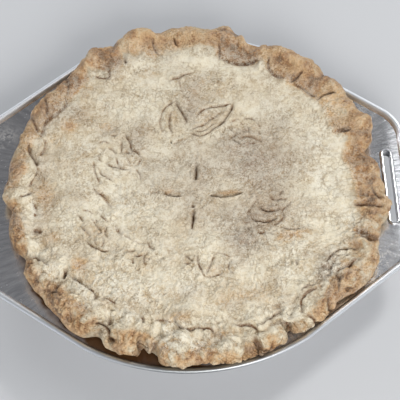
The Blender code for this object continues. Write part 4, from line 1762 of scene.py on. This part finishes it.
        # Wrinkles, and the valleys of the large blisters at the front of the rim, get painted shade.
        valleys = np.exp(-(noises[0] / 0.05) ** 2) * rim * front
        return rise + fine, np.maximum(crease_shade_and_brown, np.maximum(0.3 * wrinkle, 0.55 * valleys)), fine

    def masks(self, points: Array, plan: Array, crease_shade_and_brown: Array, fine: Array) -> dict[str, Array]:
        """Where the crust is browned, dull and floury, and where its creases get painted shade.

        Args:
            points: places on the crust.
            plan: the same places on the stencil.
            crease_shade_and_brown: painted shade and browning in the creases.
            fine: rise of the blisters.

        Returns:
            One array for each mask that the finish reads.
        """
        rim = smoothstep(np.hypot(plan[:, 0], plan[:, 1]), 103.0, 120.0)
        # Blister crests are painted paler and their valleys browner: painted light and shade on top of the
        # browning.
        bake_and_shade = self.least_bake + self.browning.at(plan) - (0.07 + 0.1 * rim) * fine
        bake_and_shade += self.bake_clouds.at(points) + rim * self.rim_clouds.at(points)
        blush = self.dull_clouds.at(points) + self.browning.dull.at(plan)
        flour = 0.5 - 0.35 * rim + self.flour_drifts.at(points) + self.browning.floured.at(plan)
        return {"bake_and_shade": bake_and_shade, "blush": np.clip(blush, 0.0, 1.0), "flour": np.clip(flour, 0.0, 1.0),
                "crease_shade_and_brown": crease_shade_and_brown}

    def build(self, material: Material) -> list[Item]:
        """Model lid and rim and dress them.

        Args:
            material: the crust's finish.

        Returns:
            The finished pieces.
        """
        places, lid_faces = self.disc()
        count, top = self.lid_sectors * self.lid_rings, self.dish.flange_top
        rings = self.base_rings(np.arange(count) * FULL_TURN / count)
        lid = np.column_stack([places, self.lid_level(places[:, 0], places[:, 1])])
        numbers = (len(lid) - count + np.arange(len(rings) * count)).reshape(len(rings), count)
        points = np.concatenate([lid, rings[1:].reshape(-1, 3)])
        triangles = np.concatenate([lid_faces, as_triangles(tube_faces(numbers))])
        shown = np.arange(len(points)) <= numbers[self.rim_rings].max()
        free = shown * smoothstep(points[:, 2], top + self.free_span[0], top + self.free_span[1])
        points = points + vertex_normals(points, triangles) * (self.swell(points) * free)[:, None]
        plan = self.stencil(points)
        rise, crease_shade_and_brown, fine = self.relief(points, plan)
        points = points + vertex_normals(points, triangles) * (rise * free)[:, None]
        low = shown & (np.hypot(points[:, 0], points[:, 1]) > self.seat_reach - 1.0)
        points[low, 2] = np.maximum(points[low, 2], top + self.seat_gap)
        normals = vertex_normals(points, triangles)
        masks = self.masks(points, plan, crease_shade_and_brown, fine)
        seat = points[numbers[0]] * (1.0, 1.0, 0.0) + (0.0, 0.0, top + self.lid_height - self.lid_thickness)
        return [
            self.finish_lid(points[:len(lid)], normals, masks, lid_faces, seat, material),
            self.finish_rim(points, normals, masks, numbers, seat, material),
        ]

    def finish_lid(self, lid: Array, normals: Array, masks: dict[str, Array], faces: Array,
                   seat: Array, material: Material) -> Item:
        """Close the lid below with a wall and a floor.

        Args:
            lid: vertices of the lid, with its edge last.
            normals: of the whole crust, the lid first.
            masks: of the whole crust, by name.
            faces: triangles of the lid.
            seat: ring of points on the lid's floor.
            material: the crust's finish.

        Returns:
            The lid.
        """
        count = len(seat)
        below = len(lid) + np.arange(count)
        wall = ring_faces(below - count, below)
        floor = fan_faces(len(lid) + count, below)[:, [0, 2, 1]]
        made = np.concatenate([lid, seat, seat.mean(axis=0, keepdims=True)])
        return self.dress("lid_crust", made, [faces, wall, floor], normals[:len(lid)],
                          {k: v[:len(lid)] for k, v in masks.items()}, material)

    def finish_rim(self, points: Array, normals: Array, masks: dict[str, Array], numbers: Array,
                   seat: Array, material: Material) -> Item:
        """Close the rim and body with a floor and the seat of the lid.

        Args:
            points: vertices of the whole crust.
            normals: of the same vertices.
            masks: of the same vertices, by name.
            numbers: vertex numbers of the rim's rings, from the seam to the bowl's floor.
            seat: ring of points on the lid's floor.
            material: the crust's finish.

        Returns:
            The rim with the body.
        """
        flat = numbers.ravel()
        body, count = points[flat], len(seat)
        own = np.arange(numbers.size).reshape(numbers.shape)
        seat_numbers = numbers.size + np.arange(count)
        first = numbers.size + count
        caps = np.concatenate([fan_faces(first, seat_numbers), fan_faces(first + 1, own[-1])[:, [0, 2, 1]]])
        made = np.concatenate([body, seat, [seat.mean(axis=0), body[-count:].mean(axis=0)]])
        return self.dress("crimped_rim", made, [tube_faces(own), ring_faces(seat_numbers, own[0]), caps],
                          normals[flat], {k: v[flat] for k, v in masks.items()}, material)

    @staticmethod
    def dress(name: str, points: Array, faces: list[Array], normals: Array, masks: dict[str, Array],
              material: Material) -> Item:
        """Make a piece of the pie, with its masks, normals and finish.

        Args:
            name: the piece's name.
            points: its vertices, those that show first.
            faces: arrays of vertex numbers.
            normals: of the vertices that show.
            masks: values of the same vertices, by name.
            material: the crust's finish.

        Returns:
            The finished piece.
        """
        piece = make_piece(name, points, faces)
        for label, values in masks.items():
            set_mask(piece, label, np.concatenate([values, np.zeros(len(points) - len(normals))]))
        own = np.zeros(len(points) * 3, np.float32)
        piece.data.vertex_normals.foreach_get("vector", own)
        own = own.reshape(-1, 3)
        own[:len(normals)] = normals
        piece.data.normals_split_custom_set_from_vertices(own)
        piece.data.materials.append(material)
        return hand_over(piece, "fruit_pie")


# ---------------------------------------------------------------------------
# Studio


@dataclass(frozen=True)
class Lamp:
    """Square soft lamp aimed at the pie: side in metres, power in watts."""

    name: str
    place: Point
    size: float
    power: float
    colour: Colour
    aim: Point = (0.0, 0.0, 0.04)

    def build(self) -> None:
        """Hang the lamp."""
        light = bpy.data.lights.new(self.name, "AREA")
        light.shape = "SQUARE"
        light.size = self.size
        light.energy = self.power
        light.color = self.colour
        lamp = link(self.name, light)
        lamp.location = self.place
        lamp.rotation_euler = (Vector(self.aim) - Vector(self.place)).to_track_quat("-Z", "Y").to_euler()


@dataclass(frozen=True)
class Studio:
    """Pale floor, soft light and the camera; places are in metres."""

    floor_size: float = 6.0
    floor_colour: Colour = (0.62, 0.63, 0.65)
    floor_roughness: float = 0.7
    low_colour: Colour = (0.60, 0.63, 0.67)
    high_colour: Colour = (0.30, 0.31, 0.325)
    front_colour: Colour = (0.12, 0.12, 0.12)
    dim_colour: Colour = (0.155, 0.155, 0.16)
    dim_way: Point = (-0.06, 0.70, 0.71)    # high behind the pie
    lens: float = 163.25
    sensor: float = 36.0
    roll: float = math.radians(-0.81)
    eye: Point = (-0.01616, -0.64673, 1.02358)
    target: Point = (0.00764, -0.00486, 0.0345)
    lamps: tuple[Lamp, ...] = (
        Lamp("window", (1.0, 0.9, 1.4), 0.35, 11.5, (1.0, 0.985, 0.96)),
        Lamp("front", (0.22, -1.25, 0.98), 0.7, 16.0, (1.0, 0.985, 0.96)),
        Lamp("side", (-1.0, 1.2, 0.94), 0.5, 4.0, (0.98, 0.99, 1.0)),
        Lamp("pane", (0.74, 0.86, 1.5), 0.4, 1.5, (0.93, 0.97, 1.0)),
    )

    def build(self) -> None:
        """Set up floor, world, lamps and camera."""
        self.floor()
        self.world()
        for lamp in self.lamps:
            lamp.build()
        self.camera()
        bpy.context.scene.view_settings.view_transform = "Standard"

    def floor(self) -> None:
        """Large plain floor that the dish stands on."""
        bpy.ops.mesh.primitive_plane_add(size=self.floor_size, location=(0.0, 0.0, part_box("pie_dish")[0].z))
        plane = bpy.context.object
        plane.name = "floor"
        material = bpy.data.materials.new("plain_floor")
        material.use_nodes = True
        shader = material.node_tree.nodes["Principled BSDF"]
        shader.inputs["Base Color"].default_value = (*self.floor_colour, 1.0)
        shader.inputs["Roughness"].default_value = self.floor_roughness
        plane.data.materials.append(material)

    def world(self) -> None:
        """Pale surroundings, darker high up and behind the pie so that the flat metal reads grey."""
        world = bpy.data.worlds.new("room")
        bpy.context.scene.world = world
        world.use_nodes = True
        bench = Bench(world.node_tree)
        way = bench.node("ShaderNodeTexCoord").outputs["Generated"]
        split = bench.node("ShaderNodeSeparateXYZ", {0: way})
        toward = bench.node("ShaderNodeVectorMath", {0: way, 1: self.dim_way}, operation="DOT_PRODUCT")
        dim = bench.span(toward.outputs["Value"], 0.93, 0.99)
        height = bench.span(split.outputs[2], 0.45, 0.8)
        before = bench.times(height, bench.span(split.outputs[1], 0.3, -0.2))
        sky = bench.mix(height, self.low_colour, self.high_colour)
        sky = bench.mix(before, sky, self.front_colour)
        background = bench.node("ShaderNodeBackground", {"Color": bench.mix(dim, sky, self.dim_colour)})
        bench.node("ShaderNodeOutputWorld", {"Surface": background.outputs[0]})

    def camera(self) -> None:
        """Long lens that looks down on the pie from the front."""
        data = bpy.data.cameras.new("camera")
        data.lens = self.lens
        data.sensor_width = self.sensor
        data.clip_start = 0.05
        camera = link("camera", data)
        camera.location = self.eye
        camera.rotation_euler = (Vector(self.target) - Vector(self.eye)).to_track_quat("-Z", "Y").to_euler()
        camera.rotation_euler.rotate_axis("Z", self.roll)
        bpy.context.scene.camera = camera


def main() -> None:
    """Build the dish, the pie and the studio."""
    logging.basicConfig(level=logging.INFO, format="%(message)s")
    mottle, specks = mottle_group(), speck_group()
    crust = CrustFinish().build(mottle, specks)
    metal = MetalFinish().build(mottle, specks)
    dish = Dish()
    for piece in (dish.build(metal), *Pie(dish).build(crust)):
        mesh = piece.data
        LOG.info("%s: %d vertices, %d faces", piece.name, len(mesh.vertices), len(mesh.polygons))
    Studio().build()


if __name__ == "__main__":
    main()
